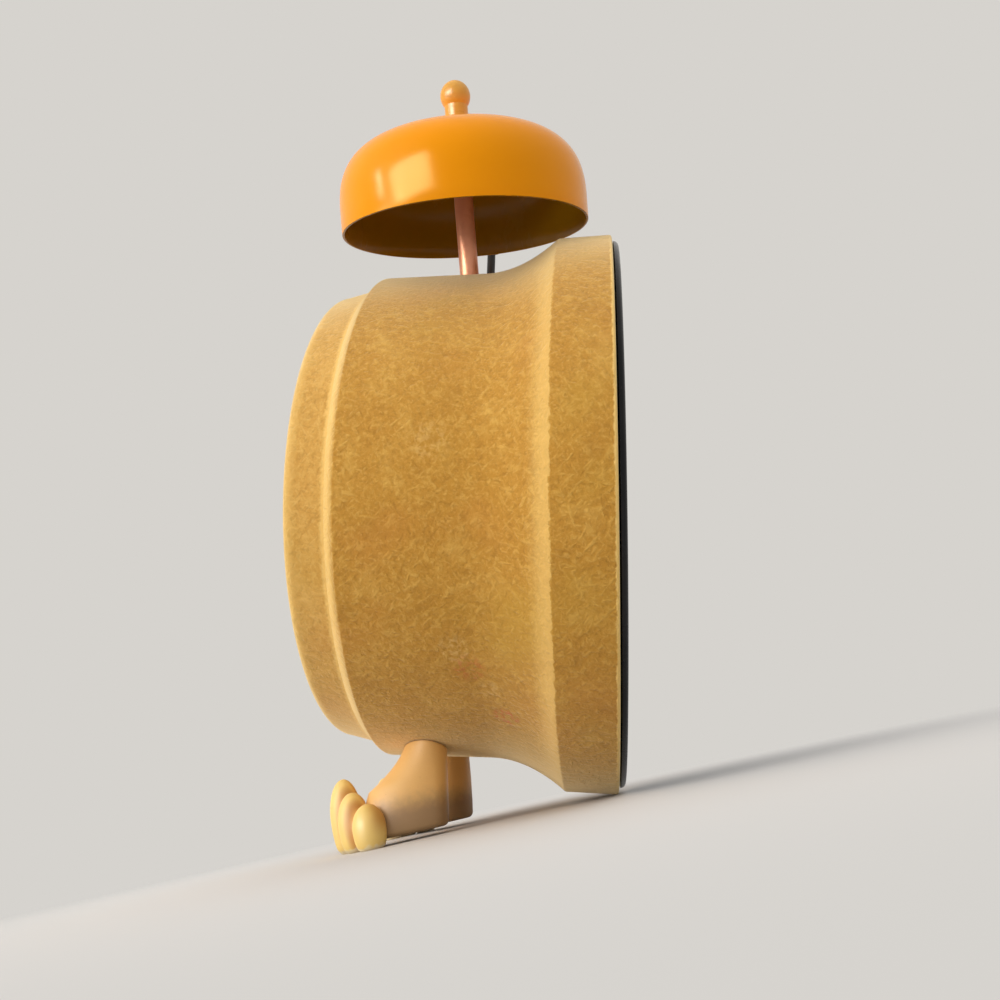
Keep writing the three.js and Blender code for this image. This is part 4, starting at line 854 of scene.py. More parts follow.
rod_slot = block(
    (-slot_half, bell_foot.y - 1.6, drum_radius - 8),
    (slot_half, bell_foot.y + 1.6, drum_radius + 4),
)
shell = cut("shell", shell, [stem_hole(1), stem_hole(-1), rod_slot])
made("case_shell_flocked", shell, in_case, "case", "case_flock", [case_flock], "case_shell")

# %% [markdown]
# ## The ring, the lens, the spacer and the dial
#
# These four are turned as well. The ring is flocked like the case and rounds over to the lens.
# The lens is a shallow dome of even thickness, which takes one outline of points on two circles.
# The spacer slopes from the ring's opening down to the dial.

# %% The ring, the lens, the spacer and the dial
ring_low, ring_high = node_box("front_ring", in_case)
ring_front, ring_rear_radius = ring_low.y, ring_high.x
ring_front_radius = 48.1
ring_round = 2
ring_opening = 41.6
ring_chamfer = 0.8
lens_radius = 44.4
lens_front, lens_back = -54.9, -53.4
seam = 0.05
ring_outline = [
    (mouth_radius, -drum_front - seam),
    (ring_rear_radius, -drum_front - seam),
    *arc((ring_front_radius - ring_round, ring_front + ring_round), ring_round, 0, -90, 8),
    (ring_opening + ring_chamfer, ring_front),
    (ring_opening, ring_front + ring_chamfer),
    (ring_opening, lens_front - run_gap),
    (lens_radius + run_gap, lens_front - run_gap),
    (lens_radius + run_gap, lens_back),
    (mouth_radius, lens_back),
]
ring = softened(turned(ring_outline, 180, closed=True), 0.3, keep=at_seam)
made("front_ring_flocked", ring, in_case, "case", "ring_flock", [ring_flock], "front_ring")

lens_dome = 0.9
dome_edge = ring_opening - 1.5
dome_radius = (dome_edge ** 2 + lens_dome ** 2) / (2 * lens_dome)


def dome(share):
    """Radius and rise of a point of the lens's dome."""
    radius = dome_edge * share
    return radius, math.sqrt(dome_radius ** 2 - radius ** 2) - dome_radius + lens_dome


shares = [i / 12 for i in range(13)]
lens_outline = [(dome(s)[0], lens_front - dome(s)[1]) for s in shares]
lens_outline += [(lens_radius, lens_front), (lens_radius, lens_back)]
lens_outline += [(dome(s)[0], lens_back - dome(s)[1]) for s in reversed(shares)]
made("lens_clear", turned(lens_outline, 128), in_case, "case", "lens", [lens_clear], "lens")

dial_radius = node_box("dial", in_case)[1].x
dial_front, dial_back = -47.0, -46.0
dial_hole = 4.7
dial = turned([
    (dial_hole, dial_back), (dial_radius, dial_back),
    (dial_radius, dial_front), (dial_hole, dial_front),
], 128, closed=True)
made("dial_face", softened(dial, 0.15), in_case, "case", "dial", [dial_card], "dial")

spacer_slope = 3.4
spacer = turned([
    (dial_radius, dial_front - run_gap),
    (dial_radius, lens_back + run_gap),
    (ring_opening, lens_back + run_gap),
    (ring_opening - spacer_slope, dial_front - run_gap),
], 128, closed=True)
made(
    "spacer_sloped", softened(spacer, 0.2), in_case, "case", "white_plastic", [white_plastic],
    "spacer_ring",
)

# %% [markdown]
# ## The bells
#
# A bell is a spun steel cup: a short upright wall, a tight shoulder and a flat crown. The outline
# is part of a superellipse, which is squarer than a circle. The same curve, set in by the sheet's
# thickness, is the inside, so the wall is even but for its lip, which is dressed thinner. Inside
# faces get a second material, a darker copy of the enamel that paints the shade inside the cup.

# %% The bells
bell_radius = 25.2
bell_mouth = 8.7
bell_height = 18.2
bell_wall = 2.4
bell_sheet, bell_lip = 0.9, 0.45
bell_bore = 1.8
bell_crown = 4.4
bell_power = 2 / 3.08
bell_top = bell_mouth + bell_height


def bell_curve(inset, steps):
    """The bell from its wall to its crown, set in by a distance."""
    points = []
    for i in range(steps + 1):
        angle = math.pi / 2 * i / steps
        reach = bell_radius - inset - bell_crown
        rise = bell_height - bell_wall - inset
        points.append((
            bell_crown + reach * max(math.cos(angle), 0) ** bell_power,
            bell_mouth + bell_wall + rise * math.sin(angle) ** bell_power,
        ))
    return points


def bell(word, side):
    """The cup. Faces that look inwards or down get the second material, the darker enamel that paints the shade
    inside.
    """
    outside = bell_curve(0, 28)
    inside = bell_curve(bell_sheet, 28)
    outline = [
        (bell_radius - bell_lip, bell_mouth), (bell_radius, bell_mouth), *outside,
        (bell_bore, bell_top), (bell_bore, bell_top - bell_sheet), *reversed(inside),
    ]
    mesh = turned(outline, 144, closed=True)
    for face in mesh.faces:
        centre = face.calc_center_median()
        inwards = Vector((centre.x, 0, centre.z)).normalized().dot(face.normal) < 0
        below = face.normal.y < -0.3
        if (inwards or below) and centre.xz.length < bell_radius - 0.1:
            face.material_index = 1
    softened(mesh, 0.12, sharper_than=50, segments=3)
    made(
        f"bell_{word}_enamelled", mesh, bell_place(side), "case", "bell_orange",
        [bell_enamel, bell_enamel_shaded], f"bell_{word}",
    )


def finial(word, side):
    """The nut on top of a bell: a foot, a neck and a ball."""
    foot, flange = bell_top + run_gap, 3.6
    neck, ball = 2.35, 3.05
    ball_height = 35.5
    neck_angle = -math.degrees(math.acos(neck / ball))
    outline = [
        (0, foot), (flange, foot), (flange, foot + 0.9),
        *bend((flange, foot + 1.2), (neck, foot + 1.6), (neck, foot + 3.4), 6),
        *arc((0, ball_height), ball, neck_angle, 90, 16),
    ]
    made(
        f"finial_{word}_painted", softened(turned(outline, 48), 0.2, sharper_than=45),
        bell_place(side), "case", "bell_orange", [finial_paint], f"finial_{word}",
    )


stem_radius, stem_end_radius = 1.95, 1.5
stem_root, stem_seat, stem_shoulder = -9.1, -5.8, 24.6
stem_tip = bell_top + 5


def stem(word, side):
    """The copper rod under a bell. Both of its ends are stepped down for a nut."""
    outline = [
        (0, stem_root), (stem_end_radius, stem_root), (stem_end_radius, stem_seat),
        (stem_radius, stem_seat), (stem_radius, stem_shoulder),
        (stem_end_radius, stem_shoulder), (stem_end_radius, stem_tip), (0, stem_tip),
    ]
    copper = metal(
        f"copper {word}", colour(255, 178, 140), colour(204, 116, 82), 0.26,
        place=bell_place(side), depth=0.006, metallic=0.5,
    )
    made(
        f"bell_stem_{word}_copper", softened(turned(outline, 48), 0.15, sharper_than=45),
        bell_place(side), "case", "copper", [copper], f"bell_stem_{word}",
    )


for word, side in sides:
    bell(word, side)
    finial(word, side)
    stem(word, side)

# %% [markdown]
# ## The hammer
#
# A thin dark rod comes up through the slot and carries a head that swings between the bells. Both
# are turned bars, the rod upright and the head lying across it. Wide chamfers at the head's ends
# keep its edge off the enamel, and they are softened so that they catch a line of light.

# %% The hammer's rod and head
strike_y = bell_foot.y
rod_foot, rod_top, rod_tip_radius, rod_chamfer = 37.3, 75, 0.6, 0.4
head_height = 74
head_radius, head_face_radius = 3.4, 1.8
head_half, head_chamfer = 5.4, 1.6
above_axis = in_case @ Matrix.Translation((0, strike_y, 0))
upright = above_axis @ Matrix.Rotation(math.pi / 2, 4, "X")
at_head = above_axis @ Matrix.Translation((0, 0, head_height))
across = at_head @ Matrix.Rotation(-math.pi / 2, 4, "Z")
rod_outline = [
    (0, rod_foot), (hammer_rod_radius, rod_foot), (hammer_rod_radius, rod_top - rod_chamfer),
    (rod_tip_radius, rod_top), (0, rod_top),
]
head_outline = [
    (0, -head_half), (head_face_radius, -head_half), (head_radius, -head_half + head_chamfer),
    (head_radius, head_half - head_chamfer), (head_face_radius, head_half), (0, head_half),
]
hammer_rod = turned(rod_outline, 32)
hammer_head = softened(turned(head_outline, 64), 0.5, sharper_than=25)
for name, mesh, place in (("rod", hammer_rod, upright), ("head", hammer_head, across)):
    made(
        f"hammer_{name}_steel", mesh, place, "hammer", "dark_steel", [dark_steel],
        f"hammer_{name}",
    )

# %% [markdown]
# ## The feet
#
# Each foot is a leg with a flat sole and three toes. A leg could be sculpted, but then no width
# would be known, so it is lofted through flat rings from the sole to the ankle: each ring is a
# circle whose front half is stretched to its own reach. `bridge_loops` joins neighbouring rings,
# and the drum then cuts the top.

# %% The legs of the feet
paw_lean = 0.16
sole_lift, sole_round, sole_half = 1.2, 0.9, 6.1
heel_reach, sole_reach = 4.4, 12.2
toe_root = 4.2
instep_height, instep_reach, instep_waist = 9.4, 10.6, 0.25
ankle_height, ankle_reach, ankle_half, ankle_top = 18, 3.2, 4.3, 22.4


def foot_point(u, v, w):
    """Forward along the foot, sideways and up from the floor, in the stand's frame."""
    return Vector((
        paw_x + math.sin(toe_out) * u + math.cos(toe_out) * v,
        paw_y - math.cos(toe_out) * u + math.sin(toe_out) * v + paw_lean * w,
        floor_height + w,
    ))


def ankle_ring(share):
    """A ring of the leg, at a share of the way from the instep to the ankle."""
    waist = instep_waist + (1 - instep_waist) * share
    return (
        instep_height + (ankle_height - instep_height) * share,
        ankle_reach + (instep_reach - ankle_reach) * (1 - share) ** 1.8,
        heel_reach,
        sole_half + (ankle_half - sole_half) * waist,
    )


def foot_rings():
    """Each ring: its height, its reach to the front and rear, and half its width."""
    rounding = [
        (sole_lift + sole_round * (1 - math.cos(a)), -sole_round * (1 - math.sin(a)))
        for a in (math.pi / 8 * i for i in range(5))
    ]
    rings = [
        (height, sole_reach + inset, heel_reach + inset, sole_half + inset)
        for height, inset in rounding
    ]
    rings.append((toe_root, sole_reach, heel_reach, sole_half))
    rings += [ankle_ring(i / 8) for i in range(9)]
    rings.append((ankle_top, ankle_reach, heel_reach, ankle_half))
    return rings


def leg():
    """The closed leg, a skin over its rings, up into the drum."""
    mesh = bmesh.new()
    loops = []
    for height, front, rear, half in foot_rings():
        circle = bmesh.ops.create_circle(mesh, cap_ends=False, radius=1, segments=48)["verts"]
        for vertex in circle:
            reach = front if vertex.co.x > 0 else rear
            vertex.co = foot_point(vertex.co.x * reach, vertex.co.y * half, height)
        loops.append(list({edge for vertex in circle for edge in vertex.link_edges}))
    for lower, upper in zip(loops, loops[1:]):
        bmesh.ops.bridge_loops(mesh, edges=lower + upper)
    bmesh.ops.holes_fill(mesh, edges=loops[0] + loops[-1], sides=0)
    bmesh.ops.recalc_face_normals(mesh, faces=mesh.faces)
    return mesh


def drum_clear():
    """The drum as a solid that is a little larger, in the stand's frame."""
    outline = [(0, 0), (rim_radius + run_gap, 0), (rim_radius - rim_taper + run_gap, -rim_length)]
    outline += [(r + run_gap, y) for r, y in cove(0, 20)[1:]]
    outline += [(drum_radius + run_gap, -drum_front), (0, -drum_front)]
    mesh = turned(outline, 180)
    mesh.transform(stand.inverted() @ in_case)
    return mesh


def mirrored(mesh, side):
    """The mesh itself for the right foot, and its mirror image for the left."""
    if side < 0:
        bmesh.ops.scale(mesh, vec=(-1, 1, 1), verts=mesh.verts)
        bmesh.ops.recalc_face_normals(mesh, faces=mesh.faces)
    return mesh


for word, side in sides:
    paw = mirrored(softened(cut("leg", leg(), [drum_clear()]), 0.35, sharper_than=40), side)
    made(f"paw_{word}_painted", paw, stand, "case", "paw_tan", [paw_paint[word]], f"paw_{word}")

# %% [markdown]
# The toes are three stretched balls side by side, made fuller below the middle so that they stand
# broadly. A boolean would join them along hard creases, so they are fused by a voxel remesh,
# smoothed a little, and cut by the leg and the floor.

# %% The toes
toe_radius, toe_reach, toe_sink, toe_fullness = 2.6, 3.0, 0.6, 0.45
toe_places = [(12.7, -toe_spacing, 12.9), (12.4, 0, 10.1), (11, toe_spacing, 7.6)]
toe_voxel = 0.22


def toe_balls():
    """Three stretched balls that overlap, widest below their middle."""
    mesh = bmesh.new()
    for forward, aside, height in toe_places:
        half = (height + toe_sink) / 2
        centre = foot_point(forward, aside, 0)
        centre.z = floor_height + height - half
        place = (
            Matrix.Translation(centre) @ Matrix.Rotation(toe_out, 4, "Z")
            @ Matrix.Diagonal((toe_radius, toe_reach, half, 1))
        )
        ball = bmesh.ops.create_uvsphere(mesh, u_segments=40, v_segments=24, radius=1)["verts"]
        for vertex in ball:
            if vertex.co.z < 0:
                wider = 1 + toe_fullness * (min(1 / max(vertex.co.xy.length, 0.2), 1.6) - 1)
                vertex.co.x *= wider
                vertex.co.y *= wider
            vertex.co = place @ vertex.co
    return mesh


def fused(mesh, voxel):
    """One skin over meshes that overlap."""
    blank = bpy.data.objects.new("blank", bpy.data.meshes.new("blank"))
    mesh.to_mesh(blank.data)
    mesh.free()
    bpy.context.scene.collection.objects.link(blank)
    remesh = blank.modifiers.new("fuse", "REMESH")
    remesh.mode = "VOXEL"
    remesh.voxel_size = voxel
    result = bmesh.new()
    result.from_object(blank, bpy.context.evaluated_depsgraph_get())
    bpy.data.objects.remove(blank)
    for _ in range(4):
        bmesh.ops.smooth_vert(
            result, verts=result.verts, factor=0.5,
            use_axis_x=True, use_axis_y=True, use_axis_z=True,
        )
    return result


def clear_leg():
    """The leg as a solid that is a little larger."""
    mesh = leg()
    for vertex in mesh.verts:
        vertex.co += vertex.normal * run_gap
    bmesh.ops.recalc_face_normals(mesh, faces=mesh.faces)
    return mesh


for word, side in sides:
    floor_block = block((-60, -120, floor_height - 20), (60, 0, floor_height))
    toes = cut("toes", fused(toe_balls(), toe_voxel), [clear_leg(), floor_block])
    made(
        f"toes_{word}_painted", mirrored(toes, side), stand, "case", "toe_yellow",
        [toe_paint[word]], f"toes_{word}", smooth_under=60,
    )

# %% [markdown]
# ## The rear cover
#
# A glossy moulding closes the back: a thin disc with a plug that fits in the rim, a well for the
# setting knobs, a pocket for the switch and the battery box. Each hollow is a tub that is joined to
# the disc and then emptied by a rounded block, as a mould's core would leave it. The cuts leave
# long thin faces on the flat back. Shaded smoothly with the small rounds along its openings, they
# would show as streaks, so the edges of the flat face are marked sharp.

# %% The rear cover
cover_radius = node_box("rear_cover", in_case)[1].x
cover_back, cover_round = 1.3, 1
plug_outer, plug_wall, plug_depth = 54.7, 2, 3.6
tub_wall = 1.6
cover = turned([
    (0, run_gap), (plug_outer - plug_wall, run_gap), (plug_outer - plug_wall, -plug_depth),
    (plug_outer, -plug_depth), (plug_outer, run_gap), (cover_radius, run_gap),
    *arc((cover_radius - cover_round, cover_back - cover_round), cover_round, 0, 90, 6),
    (0, cover_back),
], 180)

# Each hollow is its width, height and corner radius, how high it lies and the level of its floor
door_drop, switch_rise = 28, 25
door_level, switch_floor = -0.3, cover_back - 3.6
knob_well = (62, 24, 8, 0, -8.1)
door_recess = (62, 20, 2, -door_drop, door_level)
battery_box = (58.8, 16.8, 1, -door_drop, -15.3)
switch_pocket = (19, 9, 1, switch_rise, switch_floor)


def tub(width, height, corner, z, floor):
    """A solid block that holds a hollow, one wall larger all round."""
    grown = 2 * tub_wall
    back = 0.6
    return rounded_block(
        width + grown, height + grown, corner + tub_wall, floor - tub_wall, back, 0, z,
    )


def hollow(width, height, corner, z, floor):
    """The core that empties a tub, from its floor out through the back."""
    return rounded_block(width, height, corner, floor, cover_back + 1, 0, z)


# The battery's tub is as wide as the door's recess and as deep as the battery's box
battery_tub = (*door_recess[:4], battery_box[4])
cover = cut("cover", cover, [tub(*knob_well), tub(*battery_tub), tub(*switch_pocket)], "UNION")

screw_circle, screw_angles = 45.6, (55, -21)
screw_places = [
    (side * screw_circle * math.cos(angle), screw_circle * math.sin(angle))
    for angle in map(math.radians, screw_angles) for side in (1, -1)
]
knob_places = (("time_set_knob", "time_setting", 16), ("alarm_set_knob", "alarm_setting", -16))
screw_hole, arbor_hole = 2.7, 1.8
switch_slot = rounded_block(7.6, 3, 0.5, switch_floor - 4, cover_back, 0, switch_rise)
hollows = [hollow(*place) for place in (knob_well, door_recess, battery_box, switch_pocket)]
hollows.append(switch_slot)
hollows += [rod(screw_hole, -1, cover_back + 1, x, z, 32) for x, z in screw_places]
hollows += [rod(arbor_hole, knob_well[4] - 4, 0, x, 0, 24) for name, body, x in knob_places]
cover = cut("cover", cover, hollows)
softened(cover, 0.18, sharper_than=60, segments=2)
made(
    "rear_cover_glossy", cover, in_case, "case", "cover_black", [cover_black], "rear_cover",
    flat_back=True,
)

# %% [markdown]
# The door fills its recess but for a thin line all round. A shallow dish gives a finger its hold.

# %% The battery door
door_width, door_height, door_corner, *_ = door_recess
door_panel = rounded_block(
    door_width - 2 * run_gap, door_height - 2 * run_gap, door_corner, 0, cover_back, 0, -door_drop,
)
pull_radius, pull_depth, pull_rise = 5, 0.7, 3.4
door_pull = turned([
    (0, cover_back - pull_depth), (pull_radius, cover_back),
    (pull_radius, cover_back + 1), (0, cover_back + 1),
], 48)
bmesh.ops.translate(door_pull, verts=door_pull.verts, vec=(0, 0, pull_rise - door_drop))
door_panel = softened(cut("door", door_panel, [door_pull]), 0.25, sharper_than=60, segments=2)
made(
    "battery_door_glossy", door_panel, in_case, "door", "cover_black", [cover_black],
    "battery_door", flat_back=True,
)

# %% [markdown]
# ## The setting knobs
#
# A finger turns each knob through the well, so its side is ribbed. Cutters could leave grooves,
# but soft ribs come more simply from the turned mesh itself: where a point lies on the side, it
# moves in by a share that goes up and down twelve times round the axis. The back is dished, which
# saves plastic and leaves a soft rim.

# %% The setting knobs
knob_radius, knob_bore, knob_edge = 7, 1.8, 0.4
knob_ribs, rib_depth = 12, 0.5
knob_back, knob_front = -1.8, -7.8
dish_radius, dish_depth, knob_web = 4.9, 1, 2


def knob(name, body, x):
    """One knob, whose middle lies at x."""
    outline = [
        (knob_bore, knob_front), (knob_radius, knob_front), (knob_radius, knob_back - knob_edge),
        (knob_radius - knob_edge, knob_back), (dish_radius, knob_back),
        *bend((dish_radius, knob_back), (3, knob_back - 0.9), (0, knob_back - dish_depth), 6),
        (0, knob_back - knob_web), (knob_bore, knob_back - knob_web),
    ]
    mesh = turned(outline, 192, closed=True)
    for vertex in mesh.verts:
        if vertex.co.xz.length > knob_radius - 0.6:
            turn = math.atan2(vertex.co.z, vertex.co.x) * knob_ribs
            scale = 1 - rib_depth / knob_radius * max(0.0, math.cos(turn)) ** 2
            vertex.co.x *= scale
            vertex.co.z *= scale
    bmesh.ops.translate(mesh, verts=mesh.verts, vec=(x, 0, 0))
    made(f"{name}_ribbed", mesh, in_case, body, "knob_black", [knob_black], name)


for name, body, x in knob_places:
    knob(name, body, x)

# %% [markdown]
# ## The alarm switch
#
# The switch is a red cap that slides in its pocket. A neck goes down through the slot to a plate
# that holds it from inside, and three grooves give a fingernail its grip. Cap, neck and plate are
# blocks that are joined, and thin blocks cut the grooves.

# %% The alarm switch
cap_middle, cap_width, cap_height, cap_gap = -2, 5, 6.4, 0.3
groove_pitch, groove_half, groove_depth = 1.5, 0.35, 0.5


def switch_block(half_width, half_height, front, back, x=cap_middle):
    """A block of the switch, whose levels are given from the pocket's floor."""
    return block(
        (x - half_width, switch_floor + front, switch_rise - half_height),
        (x + half_width, switch_floor + back, switch_rise + half_height),
    )


pocket_depth = cover_back - switch_floor
cap = rounded_block(
    cap_width, cap_height, 0.6, switch_floor + cap_gap, cover_back - cap_gap,
    cap_middle, switch_rise,
)
neck = switch_block(1.5, 1.2, -2.9, 0.5)
plate = switch_block(2.5, 2.5, -2.9, -1.9)
grooves = [
    switch_block(
        groove_half, 6, pocket_depth - cap_gap - groove_depth, pocket_depth + 1,
        cap_middle + step * groove_pitch,
    )
    for step in (-1, 0, 1)
]
switch = cut("switch", cut("switch", cap, [neck, plate], "UNION"), grooves)
made(
    "alarm_switch_capped", softened(switch, 0.12, sharper_than=60, segments=2), in_case, "switch",
    "switch_red", [switch_red], "alarm_switch",
)

# %% [markdown]
# ## The screws of the cover
#
# Four slotted screws hold the cover. Each is turned from its tip to its head, and a thin block
# cuts the slot.

# %% The screws of the cover
shank_radius, shank_tip, shank_end = 1.1, -13.1, -11.5
head_reach, head_seat, head_side, head_face, head_bevel = 2.4, -0.7, 0.3, 0.8, 0.3
slot_floor, slot_width = 0.1, 0.7
screw_outline = [
    (0, shank_tip), (shank_radius, shank_end), (shank_radius, head_seat),
    (head_reach, head_seat), (head_reach, head_side), (head_reach - head_bevel, head_face),
    (0, head_face),
]
for number, (x, z) in enumerate(screw_places, start=1):
    slot_cutter = block(
        (-head_reach - 1, slot_floor, -slot_width / 2), (head_reach + 1, 2, slot_width / 2),
    )
    screw = cut("screw", turned(screw_outline, 32), [slot_cutter])
    bmesh.ops.translate(screw, verts=screw.verts, vec=(x, 0, z))
    made(
        f"cover_screw_{number}_slotted", screw, in_case, "case", "steel", [steel],
        f"cover_screw_{number}",
    )

# %% [markdown]
# ## Hands and numerals
#
# The hands are thin stampings that lie one above the other. A blade starts as one flat face with
# five corners, which is extruded by the sheet's thickness and joined to a round hub. Each hub but
# that of the second hand has a hole for the tube that carries it.

# %% The hands
lowest_hand, hand_step, hand_sheet = -49.3, 0.7, 0.4


def hand(name, body, order, degrees, hub, bore, blade, finish, slot):
    """A hand. Its blade is its length, its tail, half its width at the widest and at the root,
    and how far along the widest place lies."""
    front = lowest_hand - hand_step * order
    length, tail, wide, narrow, widest = blade
    shoulder = length * widest
    corners = [(-narrow, -tail), (narrow, -tail), (wide, shoulder), (0, length), (-wide, shoulder)]
    sheet = bmesh.new()
    face = sheet.faces.new([sheet.verts.new((x, front, z)) for x, z in corners])
    lifted = bmesh.ops.extrude_face_region(sheet, geom=[face])["geom"]
    far_side = [item for item in lifted if isinstance(item, bmesh.types.BMVert)]
    bmesh.ops.translate(sheet, verts=far_side, vec=(0, hand_sheet, 0))
    bmesh.ops.recalc_face_normals(sheet, faces=sheet.faces)
    mesh = cut("hand", rod(hub, front, front + hand_sheet, steps=64), [sheet], "UNION")
    if bore:
        mesh = cut("hand", mesh, [rod(bore, front - 1, front + 1, steps=32)])
    softened(mesh, 0.08, sharper_than=60, segments=2)
    turn = Matrix.Rotation(math.radians(degrees), 3, "Y")
    bmesh.ops.rotate(mesh, verts=mesh.verts, cent=(0, 0, 0), matrix=turn)
    made(f"{name}_stamped", mesh, in_case, body, slot, [finish], name)


hand("alarm_hand", "alarm", 0, 210, 5.6, 3.8, (17, 0, 0.8, 0.6, 0.8), hand_red, "hand_red")
hand("hour_hand", "hours", 1, 304, 4.6, 2.9, (23, 0, 2.3, 1, 0.72), hand_black, "hand_black")
hand("minute_hand", "minutes", 2, 48, 3.7, 2.0, (34, 0, 1.9, 0.9, 0.7), hand_black, "hand_black")
hand("second_hand", "seconds", 3, 150, 2.8, 0, (33, 10, 0.5, 0.9, 0.6), hand_red, "hand_red")

# %% [markdown]
# Numerals are text objects that become meshes before they are placed, so the font is only a tool
# here. The minute marks are small blocks, with a longer one at every fifth minute. All of them
# stand out of the dial by the thickness of ink.

# %% The numerals and minute marks
marks = bmesh.new()
numeral_circle, numeral_size = 29.2, 8.91
mark_circle = 36.4
long_mark, short_mark = (0.9, 2.4), (0.35, 1.6)
ink = 0.06
for hour in range(1, 13):
    angle = math.tau * hour / 12
    text = bpy.data.curves.new("numeral", "FONT")
    text.body = str(hour)
    text.size = numeral_size
    text.align_x = "CENTER"
    text.align_y = "CENTER"
    text.extrude = ink
    holder = bpy.data.objects.new("numeral", text)
    bpy.context.scene.collection.objects.link(holder)
    finished = holder.evaluated_get(bpy.context.evaluated_depsgraph_get())
    shape = bpy.data.meshes.new_from_object(finished)
    bpy.data.objects.remove(holder)
    place = Matrix.Translation((
        numeral_circle * math.sin(angle), dial_front - ink, numeral_circle * math.cos(angle),
    )) @ Matrix.Rotation(math.pi / 2, 4, "X")
    shape.transform(place)
    marks.from_mesh(shape)
    bpy.data.meshes.remove(shape)
for minute in range(60):
    width, length = short_mark if minute % 5 else long_mark
    place = (
        Matrix.Rotation(math.tau * minute / 60, 4, "Y")
        @ Matrix.Translation((0, dial_front - ink, mark_circle))
        @ Matrix.Diagonal((width, ink * 2, length, 1))
    )
    bmesh.ops.create_cube(marks, size=1, matrix=place)
bmesh.ops.remove_doubles(marks, verts=marks.verts, dist=0.0005)
made("dial_marks", marks, in_case, "case", "hand_black", [dial_ink], smooth_under=20)

# %% [markdown]
# ## The floor and the backdrop
#
# The floor is a pale disc that fades into the pale backdrop. Only the rays that the camera sees
# directly, in gloss or through glass meet the pale colours: the light that the floor throws back
# on the clock is that of a duller sheet. The floor keeps the shadow near the clock.

# %% The floor and the backdrop
backdrop = colour(214, 211, 206)
floor_shown, floor_lit = colour(206, 203, 198), colour(168, 166, 162)
floor_reach = 4


def seen_rays(tree):
    """1 for the rays that show a surface, 0 for those that only carry light."""
    rays = node(tree, "LightPath").outputs
    shown = maths(tree, "MAXIMUM", rays["Is Camera Ray"], rays["Is Glossy Ray"])
    return maths(tree, "MAXIMUM", shown, rays["Is Transmission Ray"])


floor_mesh = bpy.data.meshes.new("floor")
plane = bmesh.new()
bmesh.ops.create_circle(plane, cap_ends=True, radius=floor_reach, segments=96)
plane.to_mesh(floor_mesh)
plane.free()
floor = bpy.data.objects.new("floor", floor_mesh)
bpy.context.scene.collection.objects.link(floor)
floor_paint, tree, shader = material("floor paint", 0.9)
shown = seen_rays(tree)
feed(tree, shader["Base Color"], blend(tree, shown, floor_lit, floor_shown))
where = node(tree, "TexCoord").outputs["Object"]
far = node(tree, "VectorMath", {"operation": "LENGTH"}, Vector=where).outputs["Value"]
fade = times(tree, ramp(tree, far, 0.06, 0.16), shown)
glow = node(tree, "Emission", Color=backdrop, Strength=1.0).outputs[0]
fading = node(tree, "MixShader", Fac=fade)
for socket, value in zip(fading.inputs[1:], (tree.nodes["Principled BSDF"].outputs[0], glow)):
    feed(tree, socket, value)
feed(tree, tree.nodes["Material Output"].inputs["Surface"], fading.outputs[0])
floor_mesh.materials.append(floor_paint)

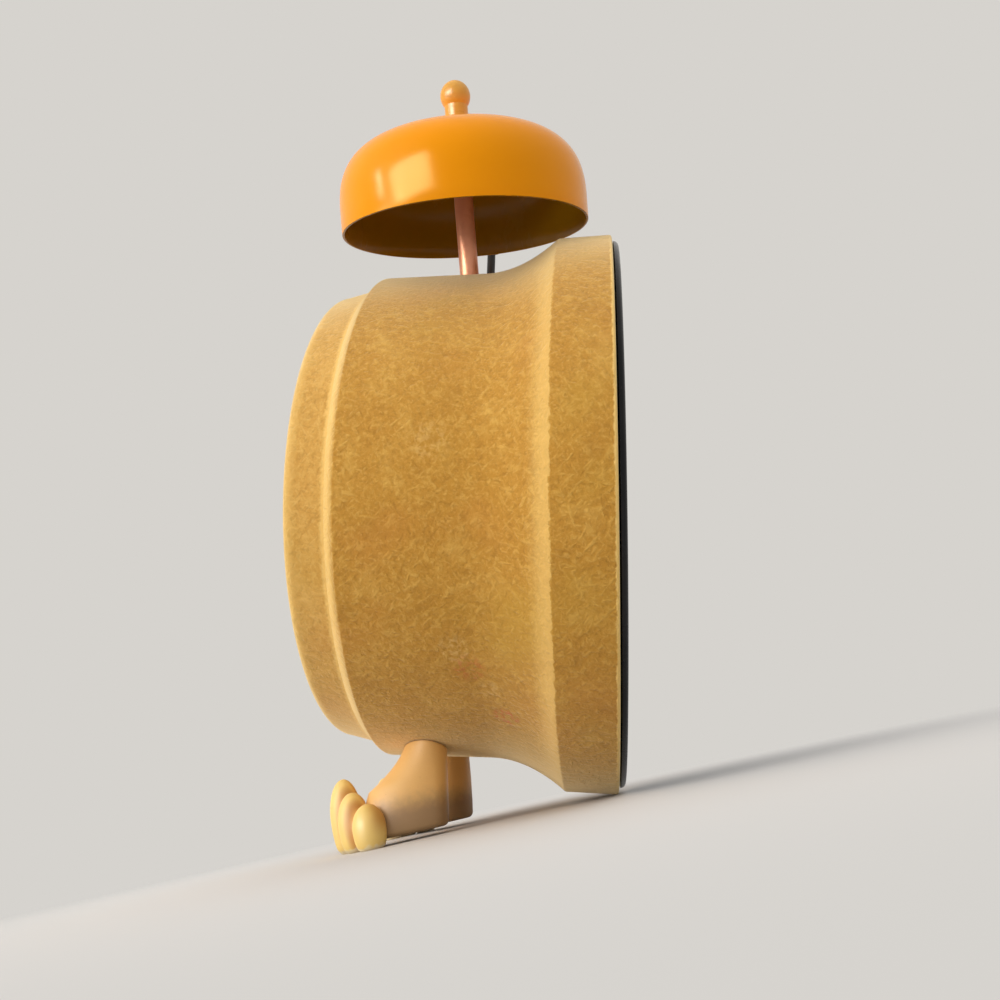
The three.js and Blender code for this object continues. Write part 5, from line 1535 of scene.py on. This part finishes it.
world = bpy.data.worlds.new("studio")
bpy.context.scene.world = world
world.use_nodes = True
tree = world.node_tree
ambient = tree.nodes["Background"]
ambient.inputs["Color"].default_value = (0.98, 0.98, 1.0, 1)
skyward = node(tree, "SeparateXYZ", Vector=node(tree, "TexCoord").outputs["Generated"]).outputs["Z"]
feed(tree, ambient.inputs["Strength"], ramp(tree, skyward, -0.1, 1.0, 0.36, 1.25))
pale = node(tree, "Background", Color=backdrop, Strength=1.0).outputs[0]
choice = node(tree, "MixShader", Fac=seen_rays(tree))
for socket, value in zip(choice.inputs[1:], (ambient.outputs[0], pale)):
    feed(tree, socket, value)
feed(tree, tree.nodes["World Output"].inputs["Surface"], choice.outputs[0])
print(world.name, "has", len(tree.nodes), "nodes")

# %% [markdown]
# ## The lamps
#
# A lamp's level is the brightness that it alone gives to a white sheet that faces it. What any one
# face gets from the lamps and the world adds up to about 1, so colours render much as they are
# written. One large softbox in front and above gives the light, two low ones reach the feet and
# the inside of the bells, and the world is brighter towards the zenith, as a room with a pale
# ceiling is. Two cards show in gloss alone: a slim one leaves a narrow highlight on the bell, and
# a wide one beside the camera gives the bell its broad soft glow.

# %% The lamps
clock_middle = Vector((0, 0, 0.07))


def softbox(name, direction, distance, width, height, level, tint, light=True, gloss=False):
    """A rectangular lamp. Without light it is a card that only shows in gloss."""
    direction = Vector(direction).normalized()
    data = bpy.data.lights.new(name, "AREA")
    data.shape = "RECTANGLE"
    data.size, data.size_y = width, height
    data.energy = level * (math.pi * distance) ** 2
    data.color = tint
    lamp = bpy.data.objects.new(name, data)
    lamp.location = clock_middle + direction * distance
    lamp.rotation_mode = "QUATERNION"
    lamp.rotation_quaternion = (-direction).to_track_quat("-Z", "Y")
    lamp.visible_diffuse, lamp.visible_glossy = light, gloss
    bpy.context.scene.collection.objects.link(lamp)
    print(name, "lamp at", [round(value, 2) for value in lamp.location])


lamp_white, slim_white, wide_white = (1.0, 0.97, 0.93), (1.0, 0.96, 0.9), (1.0, 0.95, 0.86)
card = {"light": False, "gloss": True}
softbox("key", (0.62, -0.6, 0.5), 0.9, 0.6, 0.6, 0.36, lamp_white)
softbox("low", (0.5, -0.82, 0.08), 0.9, 0.5, 0.14, 0.2, lamp_white, gloss=True)
softbox("front", (-0.4, -0.9, 0.08), 0.9, 0.4, 0.16, 0.2, lamp_white)
softbox("slim card", (0.44, -0.81, 0.38), 0.95, 0.02, 0.2, 0.12, slim_white, **card)
softbox("wide card", (0.8, -0.53, 0.17), 0.9, 0.54, 0.38, 1.5, wide_white, **card)

# %% [markdown]
# ## The view
#
# The scene shows its colours through the standard view transform.

# %% The view transform
scene = bpy.context.scene
scene.view_settings.view_transform = "Standard"
